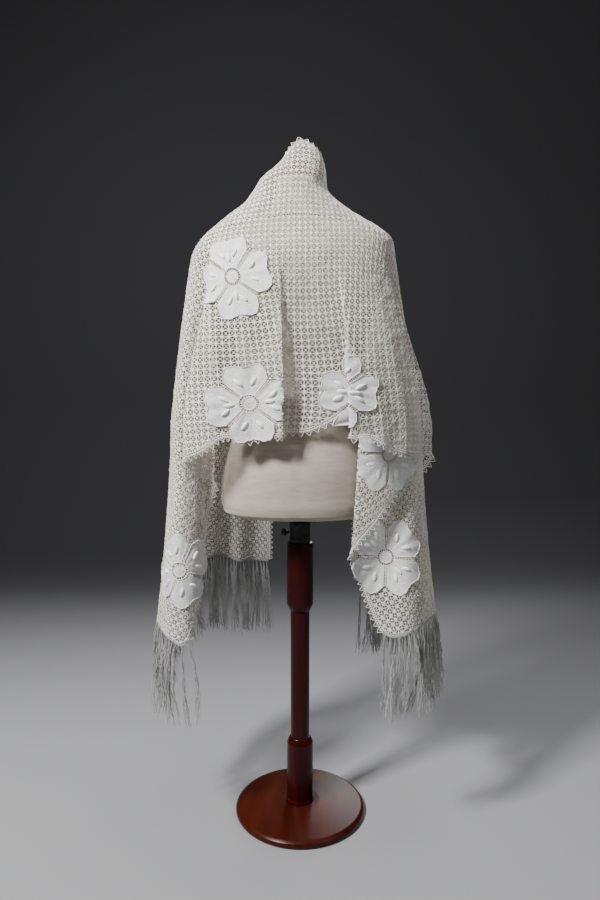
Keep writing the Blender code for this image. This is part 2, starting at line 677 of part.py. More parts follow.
def build_stand(parent, knob_axis):
    mahogany = make_material("mahogany", (0.16, 0.035, 0.02), 0.3)
    base_wood = make_material("base mahogany", (0.28, 0.09, 0.04), 0.35)
    iron = make_material("collar iron", (0.03, 0.03, 0.03), 0.4, 0.8)
    ebony = make_material("knob", (0.04, 0.03, 0.03), 0.4)
    base = [
        (BASE_RADIUS - 0.004, 0.0), (BASE_RADIUS, 0.005), (BASE_RADIUS - 0.001, 0.012),
        (BASE_RADIUS - 0.008, 0.017), (BASE_RADIUS - 0.014, 0.0175), (0.090, 0.0215),
        (0.045, BASE_HEIGHT),
    ]
    add_turned("base_disc", base, 32, base_wood, parent)
    start = BASE_HEIGHT + GAP
    sleeve = [
        (SLEEVE_RADIUS + 0.002, start), (SLEEVE_RADIUS + 0.002, start + 0.004),
        (SLEEVE_RADIUS, start + 0.008), (SLEEVE_RADIUS, LOWER_SLEEVE_TOP - 0.014), (POST_RADIUS + 0.002, LOWER_SLEEVE_TOP),
    ]
    add_turned("lower_sleeve", sleeve, 20, mahogany, parent)
    post = [
        (POST_RADIUS, LOWER_SLEEVE_TOP + GAP), (POST_RADIUS, UPPER_SLEEVE_BOTTOM - GAP),
        (BORE_RADIUS, UPPER_SLEEVE_BOTTOM - GAP), (BORE_RADIUS, BORE_BOTTOM), (0.002, BORE_BOTTOM),
    ]
    add_turned("post", post, 20, mahogany, parent)
    upper = [
        (POST_RADIUS + 0.002, UPPER_SLEEVE_BOTTOM), (SLEEVE_RADIUS, UPPER_SLEEVE_BOTTOM + 0.016),
        (SLEEVE_RADIUS, UPPER_SLEEVE_TOP - SLEEVE_CHAMFER),
        (SLEEVE_RADIUS - SLEEVE_CHAMFER / 2, UPPER_SLEEVE_TOP),
        (BORE_RADIUS, UPPER_SLEEVE_TOP), (BORE_RADIUS, UPPER_SLEEVE_BOTTOM),
    ]
    add_turned("upper_sleeve", upper, 20, mahogany, parent, hollow=True)
    collar = [
        (COLLAR_RADIUS, UPPER_SLEEVE_TOP + GAP), (COLLAR_RADIUS, COLLAR_TOP - 0.003),
        (COLLAR_RADIUS - 0.003, COLLAR_TOP), (BORE_RADIUS, COLLAR_TOP),
        (BORE_RADIUS, UPPER_SLEEVE_TOP + GAP),
    ]
    add_turned("clamp_collar", collar, 20, iron, parent, hollow=True)

    knob = [
        (0.003, 0.0), (0.003, 0.005), (KNOB_RADIUS - 0.002, 0.006), (KNOB_RADIUS, 0.009),
        (KNOB_RADIUS, KNOB_LENGTH - 0.004), (KNOB_RADIUS - 0.003, KNOB_LENGTH),
    ]
    screw = add_turned("clamp_knob", knob, 14, ebony, knob_axis)
    screw.location = (0, 0, 0)


def main():
    clear_scene()
    stand = add_empty("stand", (0, 0, 0))
    mast = add_empty("mast_axis", (0, 0, COLLAR_TOP))
    form = add_empty("form_axis", (0, 0, TORSO_BOTTOM))
    knob_axis = add_empty("knob_axis", (-COLLAR_RADIUS - GAP, 0, KNOB_HEIGHT))
    knob_axis.rotation_euler = (0, -math.pi / 2, 0)
    build_stand(stand, knob_axis)
    build_form(form, mast)
    build_stole(form)


main()
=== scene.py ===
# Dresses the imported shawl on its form: openwork lace, looped edging, sewn flowers and fringe.
# The cloth is worked out from the strands it hangs in, rolled flat to lay out the lace as it
# was made, and every loop and petal is then laid back on the hanging cloth.
import math

import bmesh
import bpy
import numpy as np
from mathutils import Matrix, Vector
from mathutils.bvhtree import BVHTree


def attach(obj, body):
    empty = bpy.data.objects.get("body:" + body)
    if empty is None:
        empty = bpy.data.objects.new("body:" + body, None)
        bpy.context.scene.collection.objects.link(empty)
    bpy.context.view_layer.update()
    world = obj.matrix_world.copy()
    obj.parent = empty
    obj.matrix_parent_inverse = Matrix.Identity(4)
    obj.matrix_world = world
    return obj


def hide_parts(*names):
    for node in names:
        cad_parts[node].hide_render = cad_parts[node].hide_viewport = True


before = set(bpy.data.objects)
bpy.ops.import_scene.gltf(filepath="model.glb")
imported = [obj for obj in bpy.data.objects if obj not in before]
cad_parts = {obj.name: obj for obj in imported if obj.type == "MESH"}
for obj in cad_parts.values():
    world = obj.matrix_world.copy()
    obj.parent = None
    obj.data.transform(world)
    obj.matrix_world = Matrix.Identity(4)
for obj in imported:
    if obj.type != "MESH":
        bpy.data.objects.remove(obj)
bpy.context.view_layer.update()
helpers = []  # flat patterns and cells, removed at the end
print("frame loaded")

drape = {
    "shoulderHeight": 1.27,
    "waistHeight": 0.90,
    "lowHeight": 0.50,
    "foldGrowth": 1.3,
    "lowSwing": 1.5,
    "roundness": 2.25,
    "columnSpacing": 0.0095,
    "shoulderRows": 17,
    "hangingRows": 44,
    "margins": (0.008, 0.017),  # rows beyond the edges, which the edging lies on
    "flattenRounds": 18,
}

# height, then how far the cloth reaches left, right, back and front with no folds
ringTable = [
    (1.500, 0.014, 0.024, 0.022, 0.010), (1.482, 0.028, 0.040, 0.034, 0.022),
    (1.455, 0.048, 0.052, 0.050, 0.040), (1.430, 0.080, 0.0560, 0.061, 0.052),
    (1.400, 0.101, 0.0600, 0.0660, 0.060), (1.375, 0.120, 0.0860, 0.0730, 0.066),
    (1.350, 0.155, 0.1240, 0.0800, 0.074), (1.325, 0.186, 0.1700, 0.0880, 0.084),
    (1.303, 0.210, 0.1970, 0.0970, 0.096), (1.270, 0.231, 0.2040, 0.1100, 0.112),
    (1.228, 0.239, 0.2120, 0.1180, 0.132), (1.144, 0.251, 0.2290, 0.1250, 0.154),
    (1.060, 0.262, 0.2440, 0.1280, 0.164), (0.976, 0.272, 0.2640, 0.1290, 0.170),
    (0.900, 0.280, 0.2760, 0.1300, 0.174),
]

# turn round the neck and height of the top edge
topTable = [
    (-162, 1.335), (-140, 1.382), (-110, 1.415), (-75, 1.448), (-40, 1.480), (-15, 1.494),
    (3, 1.497), (25, 1.495), (50, 1.486), (80, 1.464), (105, 1.430), (130, 1.385), (152, 1.335),
]

# name, turn, place at the waist, height of the end, place lower down if it is another one
strandTable = [
    ("left inner edge", -162, (-0.080, 0.168), 0.548, (-0.082, 0.195)),
    ("left front ridge 1", -153, (-0.108, 0.184), 0.546, (-0.118, 0.214)),
    ("left front valley 1", -145, (-0.136, 0.165), 0.548, (-0.152, 0.186)),
    ("left front ridge 2", -137, (-0.168, 0.174), 0.556, (-0.192, 0.212)),
    ("left front valley 2", -129, (-0.196, 0.144), 0.566, (-0.224, 0.176)),
    ("left front ridge 3", -119, (-0.232, 0.132), 0.552, (-0.268, 0.168)),
    ("left side ridge", -107, (-0.262, 0.086), 0.520, (-0.300, 0.116)),
    ("left side valley", -97, (-0.264, 0.040), 0.494, (-0.300, 0.056)),
    ("left outline", -87, (-0.282, -0.004), 0.476, (-0.318, 0.004)),
    ("left outer strip", -78, (-0.275, -0.048), 0.460, (-0.304, -0.048)),
    ("left strip fold", -70, (-0.252, -0.082), 0.450, (-0.272, -0.092)),
    ("left corner", -64, (-0.222, -0.066), 0.447, (-0.240, -0.092)),
    ("left shaded 1", -60, (-0.210, -0.052), 0.550, (-0.221, -0.068)),
    ("left shaded 2", -57, (-0.202, -0.038), 0.715, (-0.210, -0.048)),
    ("left under fold", -53, (-0.186, -0.036), 0.786, (-0.190, -0.040)),
    ("left under layer", -49, (-0.212, -0.072), 0.806, None),
    ("left hem corner", -44, (-0.242, -0.108), 0.842, None),
    ("back left 1", -38, (-0.206, -0.130), 0.860, None),
    ("back left 2", -29, (-0.156, -0.138), 0.892, None),
    ("back left 3", -20, (-0.104, -0.140), 0.884, None),
    ("back left 4", -14, (-0.064, -0.148), 0.896, None),
    ("left pleat tip", -10, (-0.034, -0.154), 0.893, None),
    ("left pleat under", -8, (-0.058, -0.129), 0.901, None),
    ("centre 1", -4, (-0.024, -0.122), 0.902, None),
    ("centre 2", 1, (0.012, -0.123), 0.902, None),
    ("centre 3", 6, (0.050, -0.124), 0.918, None),
    ("centre 4", 12, (0.086, -0.124), 0.938, None),
    ("right pleat under", 18, (0.122, -0.124), 0.936, None),
    ("right pleat tip", 23, (0.100, -0.158), 0.893, None),
    ("back right 1", 29, (0.142, -0.150), 0.892, None),
    ("back right 2", 37, (0.190, -0.132), 0.866, None),
    ("back right 3", 45, (0.240, -0.100), 0.850, None),
    ("right hem corner", 52, (0.282, -0.060), 0.845, None),
    ("right layer 2 outer", 56, (0.252, -0.058), 0.803, None),
    ("right layer 2 middle", 60, (0.205, -0.088), 0.776, (0.200, -0.085)),
    ("right layer 2 inner", 64, (0.158, -0.106), 0.712, (0.155, -0.104)),
    ("right layer 2 tip", 67, (0.122, -0.109), 0.647, (0.094, -0.106)),
    ("right layer 3 edge", 70, (0.146, -0.090), 0.600, (0.118, -0.088)),
    ("right layer 3 inner", 73, (0.176, -0.072), 0.528, (0.150, -0.084)),
    ("right corner", 76, (0.206, -0.058), 0.467, (0.184, -0.096)),
    ("right outer fold", 81, (0.240, -0.044), 0.470, (0.226, -0.110)),
    ("right outer strip", 87, (0.262, -0.022), 0.484, (0.270, -0.076)),
    ("right outline", 95, (0.271, 0.016), 0.484, (0.306, 0.000)),
    ("right side valley", 104, (0.268, 0.060), 0.488, (0.294, 0.060)),
    ("right front ridge 3", 115, (0.258, 0.110), 0.498, (0.286, 0.124)),
    ("right front valley 2", 124, (0.224, 0.128), 0.504, (0.248, 0.150)),
    ("right front ridge 2", 133, (0.196, 0.164), 0.500, (0.220, 0.200)),
    ("right front valley 1", 142, (0.164, 0.156), 0.494, (0.184, 0.178)),
    ("right inner edge", 152, (0.136, 0.168), 0.490, (0.148, 0.192)),
]

stretches = {
    "stole_left_front": ("left inner edge", "left outline"),
    "stole_left_cascade": ("left outline", "left hem corner"),
    "stole_back": ("left hem corner", "right hem corner"),
    "stole_right_cascade": ("right hem corner", "right outline"),
    "stole_right_front": ("right outline", "right inner edge"),
}

# soft ridges between the large folds: strand, how far past it, top, bottom, height of the ridge, width
creases = [
    ("left front ridge 1", 0.5, 1.20, 0.62, 0.0045, 0.016),
    ("left front ridge 2", 0.5, 1.16, 0.80, 0.0035, 0.014),
    ("left side ridge", 0.4, 1.22, 0.70, 0.0040, 0.018),
    ("left outline", 0.5, 1.19, 0.56, 0.0030, 0.013),
    ("back left 1", 0.5, 1.17, 0.93, 0.0035, 0.017),
    ("back left 2", 0.6, 1.24, 1.00, 0.0030, 0.013),
    ("back left 4", 0.2, 1.12, 0.91, 0.0025, 0.010),
    ("centre 2", 0.4, 1.10, 0.93, 0.0022, 0.014),
    ("back right 1", 0.5, 1.16, 0.92, 0.0035, 0.015),
    ("back right 2", 0.5, 1.22, 0.96, 0.0030, 0.018),
    ("right outer strip", 0.4, 1.14, 0.55, 0.0035, 0.014),
    ("right side valley", 0.5, 1.21, 0.66, 0.0045, 0.017),
    ("right front valley 2", 0.5, 1.18, 0.74, 0.0035, 0.013),
    ("right front valley 1", 0.4, 1.10, 0.60, 0.0040, 0.016),
]


def smoothCurve(knots, values, at):
    slopes = np.gradient(values, knots, axis=0)
    at = np.clip(at, knots[0], knots[-1])
    span = np.clip(np.searchsorted(knots, at) - 1, 0, len(knots) - 2)
    width = knots[span + 1] - knots[span]
    part = (at - knots[span]) / width
    if values.ndim > 1:
        width, part = width[..., None], part[..., None]
    first = (1 + 2 * part) * (1 - part) ** 2 * values[span] + part * (1 - part) ** 2 * width * slopes[span]
    second = part**2 * (3 - 2 * part) * values[span + 1] + part**2 * (part - 1) * width * slopes[span + 1]
    return first + second


def levelOutline(turn, left, right, back, front):
    power = drape["roundness"]
    across, ahead = np.sin(turn), -np.cos(turn)
    scale = (abs(across) ** power + abs(ahead) ** power) ** (-1 / power)
    width = np.where(across > 0, right, left)
    depth = np.where(ahead > 0, front, back)
    return np.stack([width * across * scale, depth * ahead * scale], axis=-1)


def ringPoint(height, turn):
    rings = np.array(ringTable[::-1])
    reach = smoothCurve(rings[:, 0], rings[:, 1:], height)
    return levelOutline(turn, *np.moveaxis(reach, -1, 0))


def unit(vectors):
    return vectors / np.maximum(np.linalg.norm(vectors, axis=-1, keepdims=True), 1e-12)


def clothColumns():
    rows = [(turn, *waist, *(low or waist), end) for _, turn, waist, end, low in strandTable]
    table = np.array(rows)
    places = table[:, 1:5]
    steps = np.linalg.norm(np.diff(places, axis=0), axis=1)
    knots = np.concatenate([[0.0], np.cumsum(np.sqrt(steps))])
    waistSteps = np.linalg.norm(np.diff(places[:, :2], axis=0), axis=1)
    lowSteps = np.hypot(np.linalg.norm(np.diff(places[:, 2:], axis=0), axis=1), np.diff(table[:, 5]))
    counts = np.maximum(1, np.round(np.maximum(waistSteps, lowSteps) / drape["columnSpacing"])).astype(int)
    at = [np.linspace(knots[i], knots[i + 1], counts[i], endpoint=False) for i in range(len(counts))]
    at = np.concatenate(at + [knots[-1:]])
    starts = np.concatenate([[0], np.cumsum(counts)])
    index = {row[0]: int(start) for row, start in zip(strandTable, starts)}
    return smoothCurve(knots, table, at), index


def clothSurface():
    columns, index = clothColumns()
    tops = np.array(topTable)
    top = smoothCurve(tops[:, 0], tops[:, 1], columns[:, 0])[:, None]
    end = columns[:, 5][:, None]
    over = np.linspace(0, 1, drape["shoulderRows"] + 1)[None, :-1]
    down = np.linspace(0, 1, drape["hangingRows"] + 1)[None, :]
    shoulder, waistHeight = drape["shoulderHeight"], drape["waistHeight"]
    heights = np.concatenate([top + (shoulder - top) * over, shoulder + (end - shoulder) * down], axis=1)
    turn = np.radians(columns[:, 0])[:, None] + 0 * heights
    ring = ringPoint(np.maximum(heights, waistHeight), turn)
    waistRing = ringPoint(np.full_like(heights, waistHeight), turn)
    waist, low = columns[:, None, 1:3], columns[:, None, 3:5]
    dropped = np.clip((shoulder - heights) / (shoulder - waistHeight), 0, 1)[..., None]
    opened = np.sin(dropped * math.pi / 2) ** drape["foldGrowth"]
    below = np.clip(waistHeight - heights, 0, None)[..., None]
    swung = (below / (waistHeight - drape["lowHeight"])) ** drape["lowSwing"]
    places = np.where(below > 0, waist + (low - waist) * swung, ring + (waist - waistRing) * opened)
    points = np.concatenate([places, heights[..., None]], axis=-1)
    return points, index, columns


def gridNormals(points):
    return unit(np.cross(np.gradient(points, axis=1), np.gradient(points, axis=0)))


def addCreases(points, index, columns):
    normals = gridNormals(points)
    spread = np.concatenate([[0.0], np.cumsum(np.linalg.norm(np.diff(columns[:, 1:3], axis=0), axis=1))])
    names = [row[0] for row in strandTable]
    heights = points[..., 2]
    for name, past, top, bottom, rise, width in creases:
        here = spread[index[name]]
        after = spread[index[names[names.index(name) + 1]]]
        middle = here + (after - here) * past
        across = np.exp(-(((spread - middle) / width) ** 2))[:, None]
        along = np.clip((top - heights) / (top - bottom), 0, 1.25) / 1.25
        points = points + normals * (rise * across * np.sin(along * math.pi / 2) ** 2)[..., None]
    return points


def withMargins(points):
    # rows and columns of cloth beyond each edge, square to it, for the edging to lie on
    def beyond(edge, inside, axis):
        run = unit(np.gradient(edge, axis=axis))
        off = edge - inside
        off = unit(off - run * (off * run).sum(axis=-1, keepdims=True))
        return [edge + off * distance for distance in drape["margins"]]

    near, far = beyond(points[:1], points[1:2], 1)
    nearEnd, farEnd = beyond(points[-1:], points[-2:-1], 1)
    points = np.concatenate([far, near, points, nearEnd, farEnd], axis=0)
    near, far = beyond(points[:, :1], points[:, 1:2], 0)
    nearEnd, farEnd = beyond(points[:, -1:], points[:, -2:-1], 0)
    return np.concatenate([far, near, points, nearEnd, farEnd], axis=1)


def gridFaces(across, down):
    i, j = np.meshgrid(np.arange(across - 1), np.arange(down - 1), indexing="ij")
    a = (i * down + j).ravel()
    return np.stack([a, a + 1, a + down + 1, a + down], axis=1)


def meshOf(name, points, faces=(), edges=()):
    mesh = bpy.data.meshes.new(name)
    places = np.asarray(points, float).reshape(-1, 3).tolist()
    lines = [tuple(map(int, edge)) for edge in edges]
    outlines = [face.tolist() if isinstance(face, np.ndarray) else face for face in faces]
    mesh.from_pydata(places, lines, outlines)
    return mesh


def helperObject(name, mesh):
    thing = bpy.data.objects.new(name, mesh)
    bpy.context.scene.collection.objects.link(thing)
    thing.hide_render = True
    helpers.append(thing)
    return thing


def rollFlat(points, centreColumn):
    # the cloth laid out flat with the least stretch, its back strand straight down
    across, down = points.shape[:2]
    mesh = meshOf("hangingCloth", points, gridFaces(across, down))
    thing = helperObject("hangingCloth", mesh)
    mesh.uv_layers.new(name="flat")
    bpy.context.view_layer.objects.active = thing
    thing.select_set(True)
    bpy.ops.object.mode_set(mode="EDIT")
    bpy.ops.mesh.select_all(action="SELECT")
    bpy.ops.uv.unwrap(method="MINIMUM_STRETCH", margin=0, iterations=drape["flattenRounds"])
    bpy.ops.object.mode_set(mode="OBJECT")
    loops = np.empty(len(mesh.loops) * 2)
    mesh.uv_layers["flat"].data.foreach_get("uv", loops)
    corners = np.empty(len(mesh.loops), int)
    mesh.loops.foreach_get("vertex_index", corners)
    flat = np.zeros((across * down, 2))
    flat[corners] = loops.reshape(-1, 2)
    flat = flat.reshape(across, down, 2)
    real = sum(np.linalg.norm(np.diff(points, axis=k), axis=-1).sum() for k in (0, 1))
    drawn = sum(np.linalg.norm(np.diff(flat, axis=k), axis=-1).sum() for k in (0, 1))
    flat = flat * real / drawn
    middle = down // 2
    drop = unit(flat[centreColumn, middle + 9] - flat[centreColumn, middle - 9])
    side = np.array([-drop[1], drop[0]])
    right = flat[centreColumn + 5, middle] - flat[centreColumn - 5, middle]
    side = side * np.sign(right @ side)
    origin = flat[centreColumn, middle]
    return np.stack([(flat - origin) @ side, -(flat - origin) @ drop], axis=-1)


def flatCloth(name, flat, points, normals):
    across, down = flat.shape[:2]
    level = np.concatenate([flat, np.zeros((across, down, 1))], axis=-1)
    mesh = meshOf(name, level, gridFaces(across, down))
    for label, values in (("place", points), ("facing", normals)):
        attribute = mesh.attributes.new(label, "FLOAT_VECTOR", "POINT")
        attribute.data.foreach_set("vector", values.astype(np.float32).ravel())
    return helperObject(name, mesh)


surface, strandAt, columns = clothSurface()
surface = addCreases(surface, strandAt, columns)
hanging = withMargins(surface)
edgeIn = len(drape["margins"])
strandAt = {name: column + edgeIn for name, column in strandAt.items()}
hangingNormals = gridNormals(hanging)
flat = rollFlat(hanging, strandAt["centre 2"])
inner = (slice(edgeIn, -edgeIn), slice(edgeIn, -edgeIn))
wholeFlat = flatCloth("wholeFlat", flat, hanging, hangingNormals)
clothFlat = flatCloth("clothFlat", flat[inner], hanging[inner], hangingNormals[inner])
print("cloth rolled flat", np.ptp(flat.reshape(-1, 2), axis=0).round(3), flat.shape)


# Geometry node trees

def makeTree(name, sockets):
    tree = bpy.data.node_groups.new(name, "GeometryNodeTree")
    tree.interface.new_socket("Geometry", in_out="INPUT", socket_type="NodeSocketGeometry")
    for label, kind, value in sockets:
        socket = tree.interface.new_socket(label, in_out="INPUT", socket_type="NodeSocket" + kind)
        if value is not None:
            socket.default_value = value
    tree.interface.new_socket("Geometry", in_out="OUTPUT", socket_type="NodeSocketGeometry")
    return tree, tree.nodes.new("NodeGroupInput"), tree.nodes.new("NodeGroupOutput")


def addNode(tree, kind, feeds=None, **settings):
    # a node with its settings, its inputs linked from other sockets or set to values
    node = tree.nodes.new(kind)
    for key, value in settings.items():
        setattr(node, key, value)
    for key, feed in (feeds or {}).items():
        if isinstance(feed, bpy.types.NodeSocket):
            tree.links.new(feed, node.inputs[key])
        else:
            node.inputs[key].default_value = feed
    return node


def layOnCloth(tree, source, cloth, lift, thickness=None):
    # moves flat geometry to the hanging cloth, keeping its own height above it;
    # with a thickness it also notes where the under side of each point lies
    info = addNode(tree, "GeometryNodeObjectInfo", {"Object": cloth})
    position = addNode(tree, "GeometryNodeInputPosition").outputs[0]
    level = addNode(tree, "ShaderNodeVectorMath", {0: position, 1: (1, 1, 0)}, operation="MULTIPLY")
    sampled = {}
    for label in ("place", "facing"):
        named = addNode(tree, "GeometryNodeInputNamedAttribute", {"Name": label}, data_type="FLOAT_VECTOR")
        sample = addNode(tree, "GeometryNodeSampleNearestSurface", {
            "Mesh": info.outputs["Geometry"], "Value": named.outputs["Attribute"],
            "Sample Position": level.outputs[0],
        }, data_type="FLOAT_VECTOR")
        sampled[label] = sample.outputs["Value"]
    split = addNode(tree, "ShaderNodeSeparateXYZ", {0: position})
    height = addNode(tree, "ShaderNodeMath", {0: split.outputs["Z"], 1: lift}, operation="ADD").outputs[0]

    def off(distance):
        # a place that far off the hanging cloth
        way = {0: sampled["facing"], "Scale": distance}
        way = addNode(tree, "ShaderNodeVectorMath", way, operation="SCALE").outputs[0]
        total = {0: sampled["place"], 1: way}
        return addNode(tree, "ShaderNodeVectorMath", total, operation="ADD").outputs[0]

    if thickness is not None:
        less = addNode(tree, "ShaderNodeMath", {0: thickness, 1: -1}, operation="MULTIPLY").outputs[0]
        below = addNode(tree, "ShaderNodeMath", {0: height, 1: -0.5, 2: less}, operation="MULTIPLY_ADD")
        note = {"Geometry": source, "Name": "under", "Value": off(below.outputs[0])}
        source = addNode(
            tree, "GeometryNodeStoreNamedAttribute", note, data_type="FLOAT_VECTOR", domain="POINT",
        ).outputs["Geometry"]
    move = addNode(tree, "GeometryNodeSetPosition", {"Geometry": source, "Position": off(height)})
    return move.outputs["Geometry"]


def finishTree(tree, geometry, start, end):
    whole = addNode(tree, "GeometryNodeRealizeInstances", {0: geometry}).outputs[0]
    painted = {"Geometry": whole, "Material": start.outputs["Material"]}
    painted = addNode(tree, "GeometryNodeSetMaterial", painted)
    tree.links.new(painted.outputs[0], end.inputs["Geometry"])


def cellTree():
    # one cell on every point of the flat lattice, pulled a little uneven and laid on the cloth
    tree, start, end = makeTree("laceCells", [
        ("Cell", "Object", None), ("Cloth", "Object", None), ("Lift", "Float", 0.0),
        ("Thickness", "Float", 0.001), ("Unevenness", "Float", 0.001), ("Weld", "Float", 0.0002),
        ("Material", "Material", None),
    ])
    given = start.outputs
    cell = addNode(tree, "GeometryNodeObjectInfo", {"Object": given["Cell"]}).outputs["Geometry"]
    place = addNode(tree, "GeometryNodeInstanceOnPoints", {"Points": given["Geometry"], "Instance": cell})
    real = addNode(tree, "GeometryNodeRealizeInstances", {0: place.outputs[0]})
    noise = addNode(tree, "ShaderNodeTexNoise", {"Scale": 55, "Detail": 1}, noise_dimensions="3D")
    centred = {0: noise.outputs["Color"], 1: (0.5, 0.5, 0.5)}
    centred = addNode(tree, "ShaderNodeVectorMath", centred, operation="SUBTRACT").outputs[0]
    drift = {0: centred, "Scale": given["Unevenness"]}
    drift = addNode(tree, "ShaderNodeVectorMath", drift, operation="SCALE").outputs[0]
    uneven = addNode(tree, "GeometryNodeSetPosition", {"Geometry": real.outputs[0], "Offset": drift})
    laid = layOnCloth(tree, uneven.outputs[0], given["Cloth"], given["Lift"], given["Thickness"])
    weld = addNode(tree, "GeometryNodeMergeByDistance", {"Geometry": laid, "Distance": given["Weld"]})
    finishTree(tree, weld.outputs[0], start, end)
    return tree


def threadTree(laid):
    # round threads along chains of edges, laid on the cloth if they were drawn flat
    sockets = [("Radius", "Float", 0.0005), ("Sides", "Int", 4), ("Material", "Material", None)]
    if laid:
        sockets += [("Cloth", "Object", None), ("Lift", "Float", 0.0)]
    tree, start, end = makeTree("laidThreads" if laid else "looseThreads", sockets)
    given = start.outputs
    curve = addNode(tree, "GeometryNodeMeshToCurve", {0: given["Geometry"]}).outputs[0]
    profile = {"Resolution": given["Sides"], "Radius": given["Radius"]}
    profile = addNode(tree, "GeometryNodeCurvePrimitiveCircle", profile, mode="RADIUS").outputs["Curve"]
    tube = {"Curve": curve, "Profile Curve": profile, "Fill Caps": True}
    result = addNode(tree, "GeometryNodeCurveToMesh", tube).outputs[0]
    if laid:
        result = layOnCloth(tree, result, given["Cloth"], given["Lift"])
    finishTree(tree, result, start, end)
    return tree


def patchTree():
    tree, start, end = makeTree("laidPatches", [
        ("Cloth", "Object", None), ("Lift", "Float", 0.0), ("Thickness", "Float", 0.001),
        ("Material", "Material", None),
    ])
    given = start.outputs
    laid = layOnCloth(tree, given["Geometry"], given["Cloth"], given["Lift"], given["Thickness"])
    finishTree(tree, laid, start, end)
    return tree


laceCells, laidPatches = cellTree(), patchTree()
laidThreads, looseThreads = threadTree(True), threadTree(False)


def plainMesh(thing, name):
    graph = bpy.context.evaluated_depsgraph_get()
    mesh = bpy.data.meshes.new_from_object(thing.evaluated_get(graph), depsgraph=graph)
    mesh.name = name
    return mesh


def runTree(name, mesh, tree, values):
    thing = bpy.data.objects.new(name + "Source", mesh)
    bpy.context.scene.collection.objects.link(thing)
    modifier = thing.modifiers.new(tree.name, "NODES")
    modifier.node_group = tree
    for item in tree.interface.items_tree:
        if item.name in values:
            modifier[item.identifier] = values[item.name]
    made = plainMesh(thing, name)
    bpy.data.objects.remove(thing, do_unlink=True)
    return made


def addPiece(name, mesh, body, nodes=(), smooth=40):
    thing = bpy.data.objects.new(name, mesh)
    bpy.context.scene.collection.objects.link(thing)
    mesh.shade_smooth()
    if smooth:
        mesh.set_sharp_from_angle(angle=math.radians(smooth))
    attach(thing, body)
    if nodes:
        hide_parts(*nodes)
    triangles = sum(len(polygon.vertices) - 2 for polygon in mesh.polygons)
    print(name, triangles, "triangles")
    return thing


def joinInto(mesh, other):
    # adds the second mesh to the first and drops it
    joined = bmesh.new()
    joined.from_mesh(mesh)
    joined.from_mesh(other)
    joined.to_mesh(mesh)
    joined.free()
    bpy.data.meshes.remove(other)


def doubled(mesh):
    # a closed wall from an open sheet that knows where its under side lies
    count = len(mesh.vertices)
    top, under = np.empty(count * 3), np.empty(count * 3, np.float32)
    mesh.vertices.foreach_get("co", top)
    mesh.attributes["under"].data.foreach_get("vector", under)
    places = np.concatenate([top.reshape(-1, 3), under.reshape(-1, 3)])
    faces = [tuple(polygon.vertices) for polygon in mesh.polygons]
    faces = [face for face in faces if len(set(face)) == len(face)]
    ways = {(a, b) for face in faces for a, b in zip(face, face[1:] + face[:1])}
    walls = [(b, a, a + count, b + count) for a, b in ways if (b, a) not in ways]
    below = [tuple(i + count for i in reversed(face)) for face in faces]
    wall = meshOf(mesh.name + "Wall", places, faces + below + sorted(walls))
    for material in filter(None, mesh.materials):
        wall.materials.append(material)
    work = bmesh.new()
    work.from_mesh(wall)
    loose = [vert for vert in work.verts if not vert.link_faces]
    bmesh.ops.delete(work, geom=loose, context="VERTS")
    bmesh.ops.dissolve_degenerate(work, dist=1e-5, edges=work.edges)
    work.to_mesh(wall)
    work.free()
    return wall


# Shared shading effects

def shaderGroup(name, inputs, outputs):
    group = bpy.data.node_groups.new(name, "ShaderNodeTree")
    for label, kind, value in inputs:
        socket = group.interface.new_socket(label, in_out="INPUT", socket_type="NodeSocket" + kind)
        socket.default_value = value
    for label, kind in outputs:
        group.interface.new_socket(label, in_out="OUTPUT", socket_type="NodeSocket" + kind)
    return group, group.nodes.new("NodeGroupInput"), group.nodes.new("NodeGroupOutput")


def twistedYarn():
    # the ply of a thread as slanting ridges, broken by fluff, and a slow drift of tone
    group, start, end = shaderGroup("twistedYarn", [
        ("Scale", "Float", 900.0), ("Drift", "Float", 9.0), ("Vector", "Vector", (0, 0, 0)),
    ], [("Height", "Float"), ("Tone", "Float")])
    vector, scale = start.outputs["Vector"], start.outputs["Scale"]
    ply = {"Vector": vector, "Scale": scale, "Distortion": 2.5, "Detail": 2}
    ply = addNode(group, "ShaderNodeTexWave", ply, wave_type="BANDS", bands_direction="DIAGONAL")
    fluff = addNode(group, "ShaderNodeTexNoise", {"Vector": vector, "Scale": scale, "Detail": 3})
    mix = {0: 0.55, 2: ply.outputs["Fac"], 3: fluff.outputs["Fac"]}
    mix = addNode(group, "ShaderNodeMix", mix, data_type="FLOAT")
    drift = {"Vector": vector, "Scale": start.outputs["Drift"], "Detail": 4}
    drift = addNode(group, "ShaderNodeTexNoise", drift)
    group.links.new(mix.outputs[0], end.inputs["Height"])
    group.links.new(drift.outputs["Fac"], end.inputs["Tone"])
    return group


